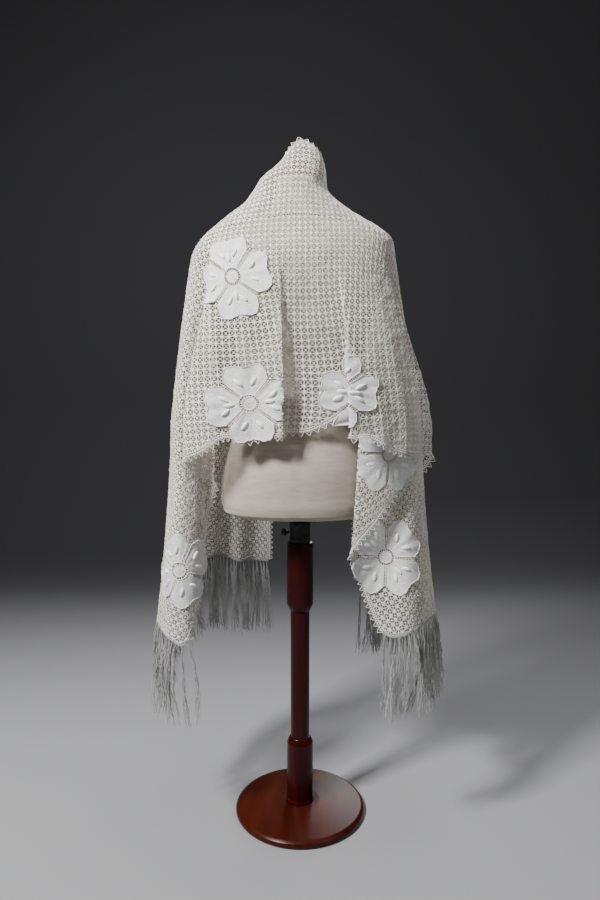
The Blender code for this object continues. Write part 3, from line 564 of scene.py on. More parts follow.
def plainWeave():
    # over and under threads with slubs, as on linen and cambric
    group, start, end = shaderGroup("plainWeave", [
        ("Threads", "Float", 600.0), ("Slub", "Float", 40.0), ("Vector", "Vector", (0, 0, 0)),
    ], [("Height", "Float"), ("Tone", "Float")])
    vector = start.outputs["Vector"]
    bands = {"Vector": vector, "Scale": start.outputs["Threads"], "Distortion": 1.6, "Detail Scale": 0.3}
    across, down = (addNode(group, "ShaderNodeTexWave", bands, wave_type="BANDS", bands_direction=way)
                    for way in ("X", "Z"))
    over = {0: across.outputs["Fac"], 1: down.outputs["Fac"]}
    over = addNode(group, "ShaderNodeMath", over, operation="MULTIPLY")
    stretch = addNode(group, "ShaderNodeVectorMath", {0: vector, 1: (1.0, 1.0, 5.0)}, operation="MULTIPLY")
    slub = addNode(group, "ShaderNodeTexNoise", {
        "Vector": stretch.outputs[0], "Scale": start.outputs["Slub"], "Detail": 5, "Roughness": 0.65,
    })
    group.links.new(over.outputs[0], end.inputs["Height"])
    group.links.new(slub.outputs["Fac"], end.inputs["Tone"])
    return group


def polishedGrain():
    # a long figure under the polish, and the fine pores in it
    group, start, end = shaderGroup("polishedGrain", [
        ("Scale", "Float", 6.0), ("Stretch", "Vector", (1, 1, 0.08)), ("Vector", "Vector", (0, 0, 0)),
    ], [("Figure", "Float"), ("Pores", "Float")])
    scale = start.outputs["Scale"]
    stretch = {0: start.outputs["Vector"], 1: start.outputs["Stretch"]}
    stretch = addNode(group, "ShaderNodeVectorMath", stretch, operation="MULTIPLY").outputs[0]
    figure = {"Vector": stretch, "Scale": scale, "Detail": 6, "Distortion": 1.4}
    figure = addNode(group, "ShaderNodeTexNoise", figure)
    fine = addNode(group, "ShaderNodeMath", {0: scale, 1: 22}, operation="MULTIPLY").outputs[0]
    pores = addNode(group, "ShaderNodeTexNoise", {"Vector": stretch, "Scale": fine, "Detail": 3})
    group.links.new(figure.outputs["Fac"], end.inputs["Figure"])
    group.links.new(pores.outputs["Fac"], end.inputs["Pores"])
    return group


yarnEffect, weaveEffect, grainEffect = twistedYarn(), plainWeave(), polishedGrain()


def setRamp(ramp, places, colours):
    for element, place, colour in zip(ramp.color_ramp.elements, places, colours):
        element.position = place
        element.color = (*colour, 1)


def newMaterial(name, group, settings):
    # a Principled shader fed by one of the effects above through a colour ramp and a bump
    material = bpy.data.materials.new(name)
    material.use_nodes = True
    tree = material.node_tree
    shader = tree.nodes["Principled BSDF"]
    vector = addNode(tree, "ShaderNodeTexCoord").outputs["Object"]
    effect = addNode(tree, "ShaderNodeGroup", node_tree=group)
    tree.links.new(vector, effect.inputs["Vector"])
    for label, value in settings["effect"].items():
        effect.inputs[label].default_value = value
    height, tone = effect.outputs[0], effect.outputs[1]
    if group is grainEffect:
        height, tone = tone, height
    ramp = addNode(tree, "ShaderNodeValToRGB", {"Fac": tone})
    setRamp(ramp, settings["range"], (settings["dark"], settings["light"]))
    low, high = settings["roughness"]
    rough = addNode(tree, "ShaderNodeMapRange", {"Value": tone, "To Min": low, "To Max": high})
    bump = {"Strength": settings["bump"], "Distance": settings["depth"], "Height": height}
    bump = addNode(tree, "ShaderNodeBump", bump)
    tree.links.new(ramp.outputs["Color"], shader.inputs["Base Color"])
    tree.links.new(rough.outputs["Result"], shader.inputs["Roughness"])
    tree.links.new(bump.outputs["Normal"], shader.inputs["Normal"])
    for label, value in settings.get("shader", {}).items():
        shader.inputs[label].default_value = value
    return material


finishes = {
    "laceCotton": (yarnEffect, {
        "effect": {"Scale": 1100.0, "Drift": 7.0}, "range": (0.30, 0.72),
        "dark": (0.54, 0.50, 0.43), "light": (0.80, 0.755, 0.67), "roughness": (0.78, 0.92),
        "bump": 0.5, "depth": 0.0005, "shader": {"Sheen Weight": 0.25, "Sheen Roughness": 0.5},
    }),
    "edgingCord": (yarnEffect, {
        "effect": {"Scale": 1400.0, "Drift": 11.0}, "range": (0.30, 0.70),
        "dark": (0.68, 0.65, 0.59), "light": (0.88, 0.85, 0.79), "roughness": (0.75, 0.90),
        "bump": 0.6, "depth": 0.0004, "shader": {"Sheen Weight": 0.2},
    }),
    "flowerCambric": (weaveEffect, {
        "effect": {"Threads": 1500.0, "Slub": 150.0}, "range": (0.33, 0.66),
        "dark": (0.46, 0.46, 0.45), "light": (0.80, 0.80, 0.79), "roughness": (0.55, 0.75),
        "bump": 0.25, "depth": 0.0002, "shader": {"Sheen Weight": 0.3},
    }),
    "leafSatin": (yarnEffect, {
        "effect": {"Scale": 700.0, "Drift": 30.0}, "range": (0.25, 0.75),
        "dark": (0.78, 0.78, 0.76), "light": (0.90, 0.90, 0.89), "roughness": (0.38, 0.52),
        "bump": 0.35, "depth": 0.0003, "shader": {"Sheen Weight": 0.3},
    }),
    "fringeThread": (yarnEffect, {
        "effect": {"Scale": 1500.0, "Drift": 16.0}, "range": (0.25, 0.75),
        "dark": (0.27, 0.27, 0.26), "light": (0.52, 0.51, 0.50), "roughness": (0.80, 0.95),
        "bump": 0.5, "depth": 0.0003, "shader": {"Sheen Weight": 0.2},
    }),
    "formLinen": (weaveEffect, {
        "effect": {"Threads": 420.0, "Slub": 26.0}, "range": (0.28, 0.72),
        "dark": (0.37, 0.325, 0.26), "light": (0.47, 0.425, 0.35), "roughness": (0.82, 0.95),
        "bump": 0.35, "depth": 0.0005, "shader": {"Sheen Weight": 0.1},
    }),
    # near-black thread colour: painted shadow of the neck seam's groove, seen through the lace
    "seamShadowThread": (yarnEffect, {
        "effect": {"Scale": 1200.0, "Drift": 30.0}, "range": (0.30, 0.70),
        "dark": (0.060, 0.048, 0.036), "light": (0.110, 0.090, 0.070), "roughness": (0.80, 0.92),
        "bump": 0.5, "depth": 0.0003,
    }),
    "redPiping": (yarnEffect, {
        "effect": {"Scale": 700.0, "Drift": 20.0}, "range": (0.30, 0.70),
        "dark": (0.30, 0.012, 0.010), "light": (0.55, 0.030, 0.022), "roughness": (0.70, 0.85),
        "bump": 0.5, "depth": 0.0005,
    }),
    "postMahogany": (grainEffect, {
        "effect": {"Scale": 14.0, "Stretch": (1, 1, 0.10)}, "range": (0.30, 0.75),
        "dark": (0.010, 0.001, 0.001), "light": (0.055, 0.003, 0.002), "roughness": (0.20, 0.32),
        "bump": 0.10, "depth": 0.0004, "shader": {"Specular IOR Level": 0.18},
    }),
    "baseMahogany": (grainEffect, {
        "effect": {"Scale": 9.0, "Stretch": (1.0, 0.12, 1.0)}, "range": (0.28, 0.76),
        "dark": (0.016, 0.002, 0.001), "light": (0.070, 0.010, 0.003), "roughness": (0.22, 0.36),
        "bump": 0.12, "depth": 0.0004, "shader": {"Specular IOR Level": 0.18},
    }),
    "blackIron": (grainEffect, {
        "effect": {"Scale": 60.0, "Stretch": (1, 1, 1)}, "range": (0.30, 0.70),
        "dark": (0.012, 0.012, 0.013), "light": (0.035, 0.035, 0.036), "roughness": (0.32, 0.50),
        "bump": 0.15, "depth": 0.0003, "shader": {"Metallic": 0.6},
    }),
}
materials = {name: newMaterial(name, *values) for name, values in finishes.items()}
print("materials made")

# The lace ground

lace = {
    "pitch": 0.0128,
    "dotRadius": 0.115,  # these four are shares of the pitch
    "ringRadius": 0.479,
    "sideRadius": 0.449,
    "barWidth": 0.078,
    "starRise": 0.0007,
    "sideRise": 0.0002,
    "dotRise": 0.0003,
    "thickness": 0.0009,
    "unevenness": 0.0034,
    "edgeReach": 0.34,  # how far past the cloth's edge a cell's middle may lie, in pitches
}


def laceCell():
    # a ring of four holes round a dot, and a quarter of a raised star in each corner
    pitch = lace["pitch"]
    places, faces = [], []

    def put(x, y, z):
        places.append((x * pitch, y * pitch, z))
        return len(places) - 1

    def ring(radius, rise):
        spread = math.asin(lace["barWidth"] / 2 / radius)
        found = []
        for k in range(4):
            for side in (-1, 1):
                angle = math.pi / 4 + math.pi / 2 * k + side * spread
                found.append(put(radius * math.cos(angle), radius * math.sin(angle), rise))
        return found

    dot, rim = ring(lace["dotRadius"], lace["dotRise"]), ring(lace["ringRadius"], 0.0)
    reach = lace["sideRadius"]
    bows = [put(reach * x, reach * y, 0.0) for x, y in ((1, 0), (0, 1), (-1, 0), (0, -1))]
    faces.append(tuple(dot))
    corners = [put(0.5 * x, 0.5 * y, lace["starRise"]) for x, y in ((1, 1), (-1, 1), (-1, -1), (1, -1))]
    sides = [put(0.5 * x, 0.5 * y, lace["sideRise"]) for x, y in ((1, 0), (0, 1), (-1, 0), (0, -1))]
    for k in range(4):
        a, b = 2 * k, 2 * k + 1
        after = (b + 1) % 8
        side, bow = sides[(k + 1) % 4], bows[(k + 1) % 4]
        faces.append((dot[a], rim[a], rim[b], dot[b]))
        faces.append((sides[k], corners[k], rim[b], rim[a]))
        faces.append((corners[k], side, rim[b]))
        faces.append((rim[b], side, bow))
        faces.append((bow, side, rim[after]))
    return meshOf("laceCell", places, faces)


# tilt is in degrees, leaf is how far the leaves stand up, and third says which petals
# have a third leaf: the even ones, the odd ones, or with 2 none
flowers = {
    "flowerShoulder": {
        "nodes": ["flower_shoulder"], "between": ("left hem corner", "left pleat tip"),
        "x": -0.134, "height": 1.205, "radius": 0.086, "tilt": -35, "leaf": 1.0, "third": 1,
    },
    "flowerHemLeft": {
        "nodes": ["flower_hem_left"], "between": ("left hem corner", "left pleat tip"),
        "x": -0.102, "height": 0.957, "radius": 0.080, "tilt": -38, "leaf": 1.0, "third": 0,
    },
    "flowerHemRight": {
        "nodes": ["flower_hem_right", "flower_hem_fold"], "between": ("right pleat under", "right pleat tip"),
        "x": 0.111, "height": 0.981, "radius": 0.074, "tilt": -49, "leaf": 1.0, "third": 0,
        "facesAs": "back right 1",
    },
    "flowerUnderRight": {
        "nodes": ["flower_under_right"], "between": ("right layer 2 outer", "right layer 2 tip"),
        "x": 0.184, "height": 0.850, "radius": 0.080, "tilt": -3, "leaf": 0.4, "third": 2,
    },
    "flowerEndRight": {
        "nodes": ["flower_end_right"], "between": ("right layer 3 edge", "right side valley"),
        "x": 0.184, "height": 0.620, "radius": 0.084, "tilt": -3, "leaf": 0.8, "third": 1,
    },
    "flowerEndLeft": {
        "nodes": ["flower_end_left"], "between": ("left outline", "left shaded 1"),
        "x": -0.250, "height": 0.600, "radius": 0.080, "tilt": -20, "leaf": 1.0, "third": 2,
    },
}


def flowerFrame(spec):
    # where the flower's middle lies on the flat cloth, and its right and up as they are seen
    first, last = (strandAt[name] for name in spec["between"])
    strip = hanging[first:last + 1, edgeIn:-edgeIn]
    away = np.hypot(strip[..., 0] - spec["x"], strip[..., 2] - spec["height"])
    i, j = np.unravel_index(np.argmin(away), away.shape)
    i, j = i + first, j + edgeIn
    middle = flat[i, j]
    seen = strandAt[spec["facesAs"]] if "facesAs" in spec else i

    def steps(grid):
        across, down = grid[seen + 1, j] - grid[seen - 1, j], grid[seen, j + 1] - grid[seen, j - 1]
        return np.stack([across, down], axis=1)

    world, level = steps(hanging), steps(flat)
    turned = level @ np.linalg.inv(world[[0, 2]])
    right = unit(turned @ np.array([1.0, 0.0]))
    up = turned @ np.array([0.0, 1.0])
    up = unit(up - right * (up @ right))
    return middle, right, up


for spec in flowers.values():
    spec["frame"] = flowerFrame(spec)

petal = {
    "count": 4,
    "innerRadius": 0.0185,
    "discRadius": 0.0125,
    "slitHalf": (0.0030, 0.030),  # half the ladder between two petals, and how it opens outwards
    "lobes": (0.89, 0.11),  # least reach and how far the lobes swell past it, shares of the radius
    "scallops": (0.018, 4.5),
    "corner": 0.17,  # how much the corners beside the ladders are cut back
    "groundMargin": 0.006,
    "steps": 34,
    "rings": 8,
    "lift": 0.0014,
    "thickness": 0.0006,
    "leafLength": 0.0205,
    "leafWidth": 0.0086,
    "leafRise": 0.0032,
    "leafBase": 0.0008,
    "leafSteps": (13, 7),
    "discRise": 0.0007,
    # each leaf's turn off the petal's middle, share of the flower's radius, and lean
    "spray": [(-0.30, 0.57, -0.34), (0.30, 0.57, 0.34), (0.0, 0.45, 0.0)],
    "rimSteps": 36,
    "cordHeight": 0.0004,
    "ladderCordHeight": 0.0002,
    "ladderEnds": (0.003, 0.002),  # how far the rungs stay off the middle and the rim
    "rungs": 0.0038,
    "bars": 20,
    "cordRadius": 0.00080,
    "barRadius": 0.00065,
    "flute": 0.0015,
    "edgeRise": 0.0012,
}


def petalReach(share, radius):
    # the outline of a petal of two lobes with a scalloped rim, share from -1 to 1 across it
    (least, swell), (depth, count) = petal["lobes"], petal["scallops"]
    lobes = least + swell * np.sin(np.pi * np.abs(share)) ** 2
    scallops = depth * np.abs(np.sin(share * np.pi * count))
    return radius * (lobes + scallops - petal["corner"] * np.abs(share) ** 5)


def slitHalf(radius):
    start, opening = petal["slitHalf"]
    return start + np.maximum(radius - petal["innerRadius"], 0) * opening


def petalPoint(spec, k, share, radius):
    middle = math.radians(spec["tilt"]) + 2 * math.pi * (k + 0.5) / petal["count"]
    spread = math.pi / petal["count"] - np.arcsin(np.clip(slitHalf(radius) / np.maximum(radius, 1e-6), 0, 1))
    angle = middle + share * spread
    return np.stack([radius * np.cos(angle), radius * np.sin(angle)], axis=-1)


def onFlat(spec, local):
    middle, right, up = spec["frame"]
    local = np.asarray(local)
    return middle + local[..., :1] * right + local[..., 1:2] * up


def coveredByFlower(points):
    hidden = np.zeros(len(points), bool)
    for spec in flowers.values():
        middle, right, up = spec["frame"]
        local = np.stack([(points - middle) @ right, (points - middle) @ up], axis=-1)
        away = np.linalg.norm(local, axis=-1)
        angle = np.arctan2(local[:, 1], local[:, 0]) - math.radians(spec["tilt"])
        quarter = 2 * math.pi / petal["count"]
        share = (angle % quarter) / (quarter / 2) - 1
        hidden |= away < petalReach(share, spec["radius"]) - petal["groundMargin"]
    return hidden


cellObject = helperObject("laceCell", laceCell())


def latticePoints():
    # every place of the flat lattice, with the stretch that it belongs to
    pitch = lace["pitch"]
    inside = flat[inner]
    across, down = inside.shape[:2]
    level = np.concatenate([inside, np.zeros((across, down, 1))], axis=-1).reshape(-1, 3)
    tree = BVHTree.FromPolygons([Vector(p) for p in level.tolist()], gridFaces(across, down).tolist())
    low, high = level.min(axis=0), level.max(axis=0)
    xs = np.arange(math.floor(low[0] / pitch), math.ceil(high[0] / pitch) + 1) * pitch
    ys = np.arange(math.floor(low[1] / pitch), math.ceil(high[1] / pitch) + 1) * pitch
    places = np.stack(np.meshgrid(xs, ys, indexing="ij"), axis=-1).reshape(-1, 2)
    names = list(stretches)
    bounds = [(strandAt[a] - edgeIn, strandAt[b] - edgeIn) for a, b in stretches.values()]
    groups = {name: [] for name in names}
    hidden = coveredByFlower(places)
    for place, covered in zip(places, hidden):
        _, _, face, distance = tree.find_nearest((place[0], place[1], 0))
        if covered or distance is None or distance > pitch * lace["edgeReach"]:
            continue
        column = face // (down - 1)
        for name, (first, last) in zip(names, bounds):
            if first <= column < last:
                groups[name].append((place[0], place[1], 0.0))
                break
    return groups


laceNames = {
    "stole_left_front": "laceLeftFront", "stole_left_cascade": "laceLeftCascade", "stole_back": "laceBack",
    "stole_right_cascade": "laceRightCascade", "stole_right_front": "laceRightFront",
}
for node, places in latticePoints().items():
    name = laceNames[node]
    sheet = runTree(name, meshOf(name + "Points", places), laceCells, {
        "Cell": cellObject, "Cloth": clothFlat, "Material": materials["laceCotton"],
        "Unevenness": lace["unevenness"], "Thickness": lace["thickness"],
    })
    piece = addPiece(name, doubled(sheet), "form", [node], 55)
    # the ground is cut away under the flowers; the stretch's flat layout, turned to its own long axis, is
    # worked out here and not used further
    first, last = (strandAt[strand] for strand in stretches[node])
    part = flat[first:last + 1, edgeIn:-edgeIn].reshape(-1, 2)
    centred = part - part.mean(axis=0)
    turned = centred @ np.linalg.svd(centred, full_matrices=False)[2].T
print("lace laid")


# Threads drawn as chains of edges

class Threads:
    def __init__(self):
        self.points, self.edges = [], []

    def add(self, path, closed=False):
        start = len(self.points)
        self.points += [tuple(point) for point in path]
        count = len(path)
        self.edges += [(start + k, start + k + 1) for k in range(count - 1)]
        if closed:
            self.edges.append((start + count - 1, start))

    def mesh(self, name):
        return meshOf(name, self.points, (), self.edges)


def edgeReader(path, outward):
    # reads places along an edge and square off it
    steps = np.concatenate([[0.0], np.cumsum(np.linalg.norm(np.diff(path, axis=0), axis=1))])
    run = unit(np.gradient(path, axis=0))
    smoothed = unit(outward - run * (outward * run).sum(axis=-1, keepdims=True))
    for _ in range(3):
        smoothed[1:-1] = (smoothed[:-2] + 2 * smoothed[1:-1] + smoothed[2:]) / 4

    def read(distance, out):
        distance = np.clip(distance, 0, steps[-1])
        place = np.stack([np.interp(distance, steps, axis) for axis in path.T], axis=-1)
        way = unit(np.stack([np.interp(distance, steps, axis) for axis in smoothed.T], axis=-1))
        return place + way * np.asarray(out)[..., None]

    return read, steps[-1]


hemRow = flat.shape[1] - 1 - edgeIn
leftColumn, rightColumn = edgeIn, flat.shape[0] - 1 - edgeIn


def lowerEdge(first, last):
    part = slice(strandAt[first], strandAt[last] + 1)
    path = flat[part, hemRow]
    return path, unit(flat[part, hemRow + 1] - path)


def upperEdge():
    # up the left front, round the neck and down the right front
    rows = slice(edgeIn, hemRow + 1)
    left, right = flat[leftColumn, rows][::-1], flat[rightColumn, rows]
    neck = flat[leftColumn:rightColumn + 1, edgeIn]
    leftOut = unit(flat[leftColumn - 1, rows] - flat[leftColumn, rows])[::-1]
    rightOut = unit(flat[rightColumn + 1, rows] - flat[rightColumn, rows])
    neckOut = unit(flat[leftColumn:rightColumn + 1, edgeIn - 1] - neck)
    path = np.concatenate([left, neck[1:-1], right])
    return path, unit(np.concatenate([leftOut, neckOut[1:-1], rightOut]))


edging = {
    "pitch": 0.0132,
    "innerCord": 0.0004,
    "outerCord": 0.0046,
    "cordStep": 0.0044,
    # share of the pitch along the edge, and distance off the cloth
    "loop": [(0.00, 0.0050), (0.14, 0.0078), (0.30, 0.0108), (0.43, 0.0142), (0.50, 0.0151),
             (0.57, 0.0142), (0.70, 0.0108), (0.86, 0.0078), (1.00, 0.0050)],
    "tie": [(0.30, 0.0050), (0.42, 0.0072), (0.50, 0.0080), (0.58, 0.0072), (0.70, 0.0050)],
    "rungs": 3,
    "cordRadius": 0.00090,
    "loopRadius": 0.00066,
    "sides": 4,
}


def addEdging(name, edge, nodes):
    read, length = edgeReader(*edge)
    repeats = max(2, round(length / edging["pitch"]))
    pitch = length / repeats
    cords, loops = Threads(), Threads()

    def drawn(threads, shares, offset, rise=0.0):
        shares = np.array(shares)
        places = read(offset + shares[:, 0] * pitch, shares[:, 1])
        threads.add(np.column_stack([places, np.full(len(places), rise)]))

    count = round(length / edging["cordStep"])
    for out in (edging["innerCord"], edging["outerCord"]):
        where = np.linspace(0, length, count + 1)
        places = read(where, np.full(len(where), out))
        cords.add(np.column_stack([places, np.zeros(len(places))]))
    low, high = edging["innerCord"], edging["outerCord"]
    for k in range(repeats):
        for rung in range(edging["rungs"]):
            share = rung / edging["rungs"]
            drawn(loops, [(share, low), (share + 0.04, high)], k * pitch)
        drawn(loops, edging["loop"], k * pitch)
        drawn(loops, edging["tie"], k * pitch)
    values = {"Sides": edging["sides"], "Cloth": wholeFlat, "Material": materials["edgingCord"]}
    values["Radius"] = edging["cordRadius"]
    cordMesh = runTree(name + "Cord", cords.mesh(name), laidThreads, values)
    values["Radius"] = edging["loopRadius"]
    loopMesh = runTree(name, loops.mesh(name), laidThreads, values)
    joinInto(loopMesh, cordMesh)
    addPiece(name, loopMesh, "form", nodes, 0)


addEdging("edgingHem", lowerEdge("left corner", "right corner"),
          ["edging_left_cascade", "edging_back_hem", "edging_right_cascade"])
addEdging("edgingTop", upperEdge(), ["edging_neck", "edging_left_front", "edging_right_front"])
print("edging laid")

# The flowers


def flutes(shares, k):
    return np.cos(shares * 11 + k)


def rimWave(shares, k):
    return 0.6 + 0.4 * np.sin(shares * 5 + 2 * k)


def petalPatch(spec, k):
    shares = np.linspace(-1, 1, petal["steps"] + 1)[:, None]
    outward = np.linspace(0, 1, petal["rings"] + 1)[None, :]
    reach = petalReach(shares, spec["radius"])
    radius = petal["innerRadius"] + (reach - petal["innerRadius"]) * outward
    local = petalPoint(spec, k, shares + 0 * radius, radius)
    ripple = petal["flute"] * flutes(shares, k) * outward * (1 - 0.5 * outward)
    ripple = ripple + petal["edgeRise"] * outward**3 * rimWave(shares, k)
    return np.concatenate([onFlat(spec, local), ripple[..., None]], axis=-1)


def leafPatch(spec, middle, angle, base):
    # a padded pointed oval
    lengthwise, across = (np.linspace(-1, 1, count) for count in petal["leafSteps"])
    lengthwise, across = lengthwise[:, None], across[None, :]
    width = petal["leafWidth"] / 2 * (1 - lengthwise**2) ** 0.8
    x = lengthwise * petal["leafLength"] / 2 + 0 * across
    y = across * width
    rise = base + petal["leafRise"] * spec["leaf"] * (1 - across**2) ** 0.6 * (1 - lengthwise**2) ** 0.5
    local = np.stack([middle[0] + x * math.cos(angle) - y * math.sin(angle),
                      middle[1] + x * math.sin(angle) + y * math.cos(angle)], axis=-1)
    return np.concatenate([onFlat(spec, local), rise[..., None]], axis=-1)


def discPatch(spec):
    turns = np.linspace(0, 2 * math.pi, 25)[:, None]
    radius = np.linspace(0.001, petal["discRadius"], 4)[None, :]
    local = np.stack([radius * np.cos(turns), radius * np.sin(turns)], axis=-1)
    rise = petal["discRise"] * (1 - (radius / petal["discRadius"]) ** 2) + 0 * turns
    return np.concatenate([onFlat(spec, local), rise[..., None]], axis=-1)


def joinPatches(name, patches):
    points, faces, start = [], [], 0
    for patch in patches:
        across, down = patch.shape[:2]
        points.append(patch.reshape(-1, 3))
        quads = gridFaces(across, down) + start
        a, b = patch[1, 0] - patch[0, 0], patch[0, 1] - patch[0, 0]
        if a[0] * b[1] - a[1] * b[0] < 0:
            quads = quads[:, ::-1]
        faces += quads.tolist()
        start += across * down
    mesh = meshOf(name, np.concatenate(points), faces)
    work = bmesh.new()
    work.from_mesh(mesh)
    bmesh.ops.remove_doubles(work, verts=work.verts, dist=1e-5)
    work.to_mesh(mesh)
    work.free()
    return mesh


def addFlowerPieces(name, spec):
    patches, leaves, cords, rungs = [discPatch(spec)], [], Threads(), Threads()
    rise = petal["cordHeight"]

    def drawn(threads, local, height=rise, closed=False):
        places = onFlat(spec, np.array(local))
        threads.add(np.column_stack([places, np.full(len(places), height)]), closed)

    quarter = 2 * math.pi / petal["count"]
    for k in range(petal["count"]):
        patches.append(petalPatch(spec, k))
        middle = math.radians(spec["tilt"]) + quarter * (k + 0.5)
        leafCount = 3 if k % 2 == spec["third"] else 2
        for turn, distance, lean in petal["spray"][:leafCount]:
            angle = middle + turn
            away = spec["radius"] * distance
            place = (away * math.cos(angle), away * math.sin(angle))
            leaves.append(leafPatch(spec, place, angle + lean, petal["leafBase"]))
        shares = np.linspace(-1, 1, petal["rimSteps"] + 1)
        reach = petalReach(shares, spec["radius"])
        lifted = rise + petal["edgeRise"] * rimWave(shares, k) + 0.5 * petal["flute"] * flutes(shares, k)
        drawn(cords, petalPoint(spec, k, shares, reach), lifted)
        for side in (-1, 1):
            radii = np.linspace(petal["innerRadius"], petalReach(np.array(1.0), spec["radius"]), 9)
            drawn(cords, petalPoint(spec, k, side + 0 * radii, radii), petal["ladderCordHeight"])
        slit = math.radians(spec["tilt"]) + quarter * k
        reachOut = float(petalReach(np.array(1.0), spec["radius"]))
        radii = np.array([petal["innerRadius"], reachOut])
        drawn(rungs, np.stack([radii * math.cos(slit), radii * math.sin(slit)], axis=-1), 0.0)
        offMiddle, offRim = petal["ladderEnds"]
        for radius in np.arange(petal["innerRadius"] + offMiddle, reachOut - offRim, petal["rungs"]):
            half = slitHalf(radius)
            ends = [(radius * math.cos(slit) - s * half * math.sin(slit),
                     radius * math.sin(slit) + s * half * math.cos(slit)) for s in (-1, 1)]
            drawn(rungs, ends, 0.0)
    for radius in (petal["discRadius"], petal["innerRadius"]):
        turns = np.linspace(0, 2 * math.pi, 28, endpoint=False)
        drawn(cords, np.stack([radius * np.cos(turns), radius * np.sin(turns)], axis=-1), closed=True)
    for turn in np.linspace(0, 2 * math.pi, petal["bars"], endpoint=False):
        radii = np.array([petal["discRadius"], petal["innerRadius"]])
        drawn(rungs, np.stack([radii * math.cos(turn), radii * math.sin(turn)], axis=-1), 0.0)
    values = {
        "Cloth": wholeFlat, "Lift": petal["lift"], "Thickness": petal["thickness"],
        "Material": materials["flowerCambric"],
    }
    sheet = runTree(name, joinPatches(name, patches), laidPatches, values)
    addPiece(name, doubled(sheet), "form", spec["nodes"], 50)
    values["Material"] = materials["leafSatin"]
    raised = runTree(name + "Leaves", joinPatches(name, leaves), laidPatches, values)
    addPiece(name + "Leaves", doubled(raised), "form", (), 60)
    values["Material"] = materials["edgingCord"]
    values["Sides"], values["Radius"] = 4, petal["cordRadius"]
    cordMesh = runTree(name + "Cords", cords.mesh(name), laidThreads, values)
    values["Radius"] = petal["barRadius"]
    rungMesh = runTree(name + "Rungs", rungs.mesh(name), laidThreads, values)
    joinInto(cordMesh, rungMesh)
    addPiece(name + "Cords", cordMesh, "form", (), 0)


for name, spec in flowers.items():
    addFlowerPieces(name, spec)
print("flowers sewn on")

# The fringe

fringe = {
    "spacing": 0.0100,
    "threads": 10,
    "length": (0.158, 0.188),
    "steps": 13,
    "radius": 0.00058,
    "headingRows": (0.0008, 0.0024, 0.0040, 0.0056),
    "headingPitch": 0.0050,
    "headingRadius": 0.00062,
    "bundleRadius": 0.0016,
    "spread": 0.0060,
    "crimp": 0.0015,
    "lean": 0.010,
    "bow": 0.004,
    "stray": (0.35, 0.005),  # share of the threads that stray, and how far
    "turn": 0.4,
    "twist": 2.6,
    "knotDrop": 0.012,  # how far a bundle follows the cloth before it hangs
    "headingRise": 0.0005,
    "seed": 11,
}


def addFringe(name, first, last, node, rng):
    read, length = edgeReader(*lowerEdge(first, last))
    heading = Threads()
    rows = fringe["headingRows"]
    count = round(length / fringe["headingPitch"])
    where = np.linspace(0, length, count + 1)
    for out in rows:
        places = read(where, np.full(len(where), out))
        heading.add(np.column_stack([places, np.zeros(len(places))]))
    for k in range(count):
        span = np.array([where[k], (where[k] + where[k + 1]) / 2, where[k + 1]])
        for near, far, side in ((rows[0], rows[-1], 1), (rows[-1], rows[0], -1)):
            places = read(span, np.array([near, far, near]))
            heading.add(np.column_stack([places, np.full(3, side * fringe["headingRise"])]))
    headingMesh = runTree(name + "Heading", heading.mesh(name), laidThreads, {
        "Radius": fringe["headingRadius"], "Sides": 4, "Cloth": wholeFlat,
        "Material": materials["fringeThread"],
    })

    part = slice(strandAt[first], strandAt[last] + 1)
    edge = hanging[part, hemRow]
    out = unit(hanging[part, hemRow + 1] - edge)
    steps = np.concatenate([[0.0], np.cumsum(np.linalg.norm(np.diff(edge, axis=0), axis=1))])
    bundles = round(steps[-1] / fringe["spacing"])
    strands = Threads()
    for k in range(bundles):
        at = (k + 0.5) / bundles * steps[-1]
        root = np.array([np.interp(at, steps, axis) for axis in edge.T])
        way = unit(np.array([np.interp(at, steps, axis) for axis in out.T]))
        root = root + way * rows[-1]
        lean = rng.normal(0, fringe["lean"], 2)
        bow = rng.normal(0, fringe["bow"], 2)
        for thread in range(fringe["threads"]):
            reach = rng.uniform(*fringe["length"])
            turn = 2 * math.pi * thread / fringe["threads"] + rng.uniform(-fringe["turn"], fringe["turn"])
            size = fringe["spread"] * rng.uniform(0.25, 1.0)
            twist = rng.uniform(-fringe["twist"], fringe["twist"])
            strayShare, strayReach = fringe["stray"]
            stray = rng.normal(0, strayReach, 2) if rng.random() < strayShare else np.zeros(2)
            path = []
            for step in range(fringe["steps"] + 1):
                share = step / fringe["steps"]
                fan = fringe["bundleRadius"] * min(1, share * 8) + size * share**1.6
                phase = turn + twist * share
                across = lean * share**1.4 + bow * math.sin(share * math.pi)
                across = across + fan * np.array([math.cos(phase), math.sin(phase)])
                across = across + rng.normal(0, fringe["crimp"], 2) * min(1, share * 6) + stray * share**3
                follow = fringe["knotDrop"] * (1 - (1 - min(1, share * 5)) ** 2)
                point = root + way * follow
                point = point + np.array([across[0], across[1], -max(0.0, reach * share - follow * 0.6)])
                path.append(point)
            strands.add(path)
    mesh = runTree(name, strands.mesh(name), looseThreads, {
        "Radius": fringe["radius"], "Sides": 3, "Material": materials["fringeThread"],
    })
    joinInto(mesh, headingMesh)
    addPiece(name, mesh, "form", [node], 0)


fringeRandom = np.random.default_rng(fringe["seed"])
addFringe("fringeLeft", "left inner edge", "left corner", "fringe_left", fringeRandom)
addFringe("fringeRight", "right corner", "right inner edge", "fringe_right", fringeRandom)
print("fringe hung")

# The form

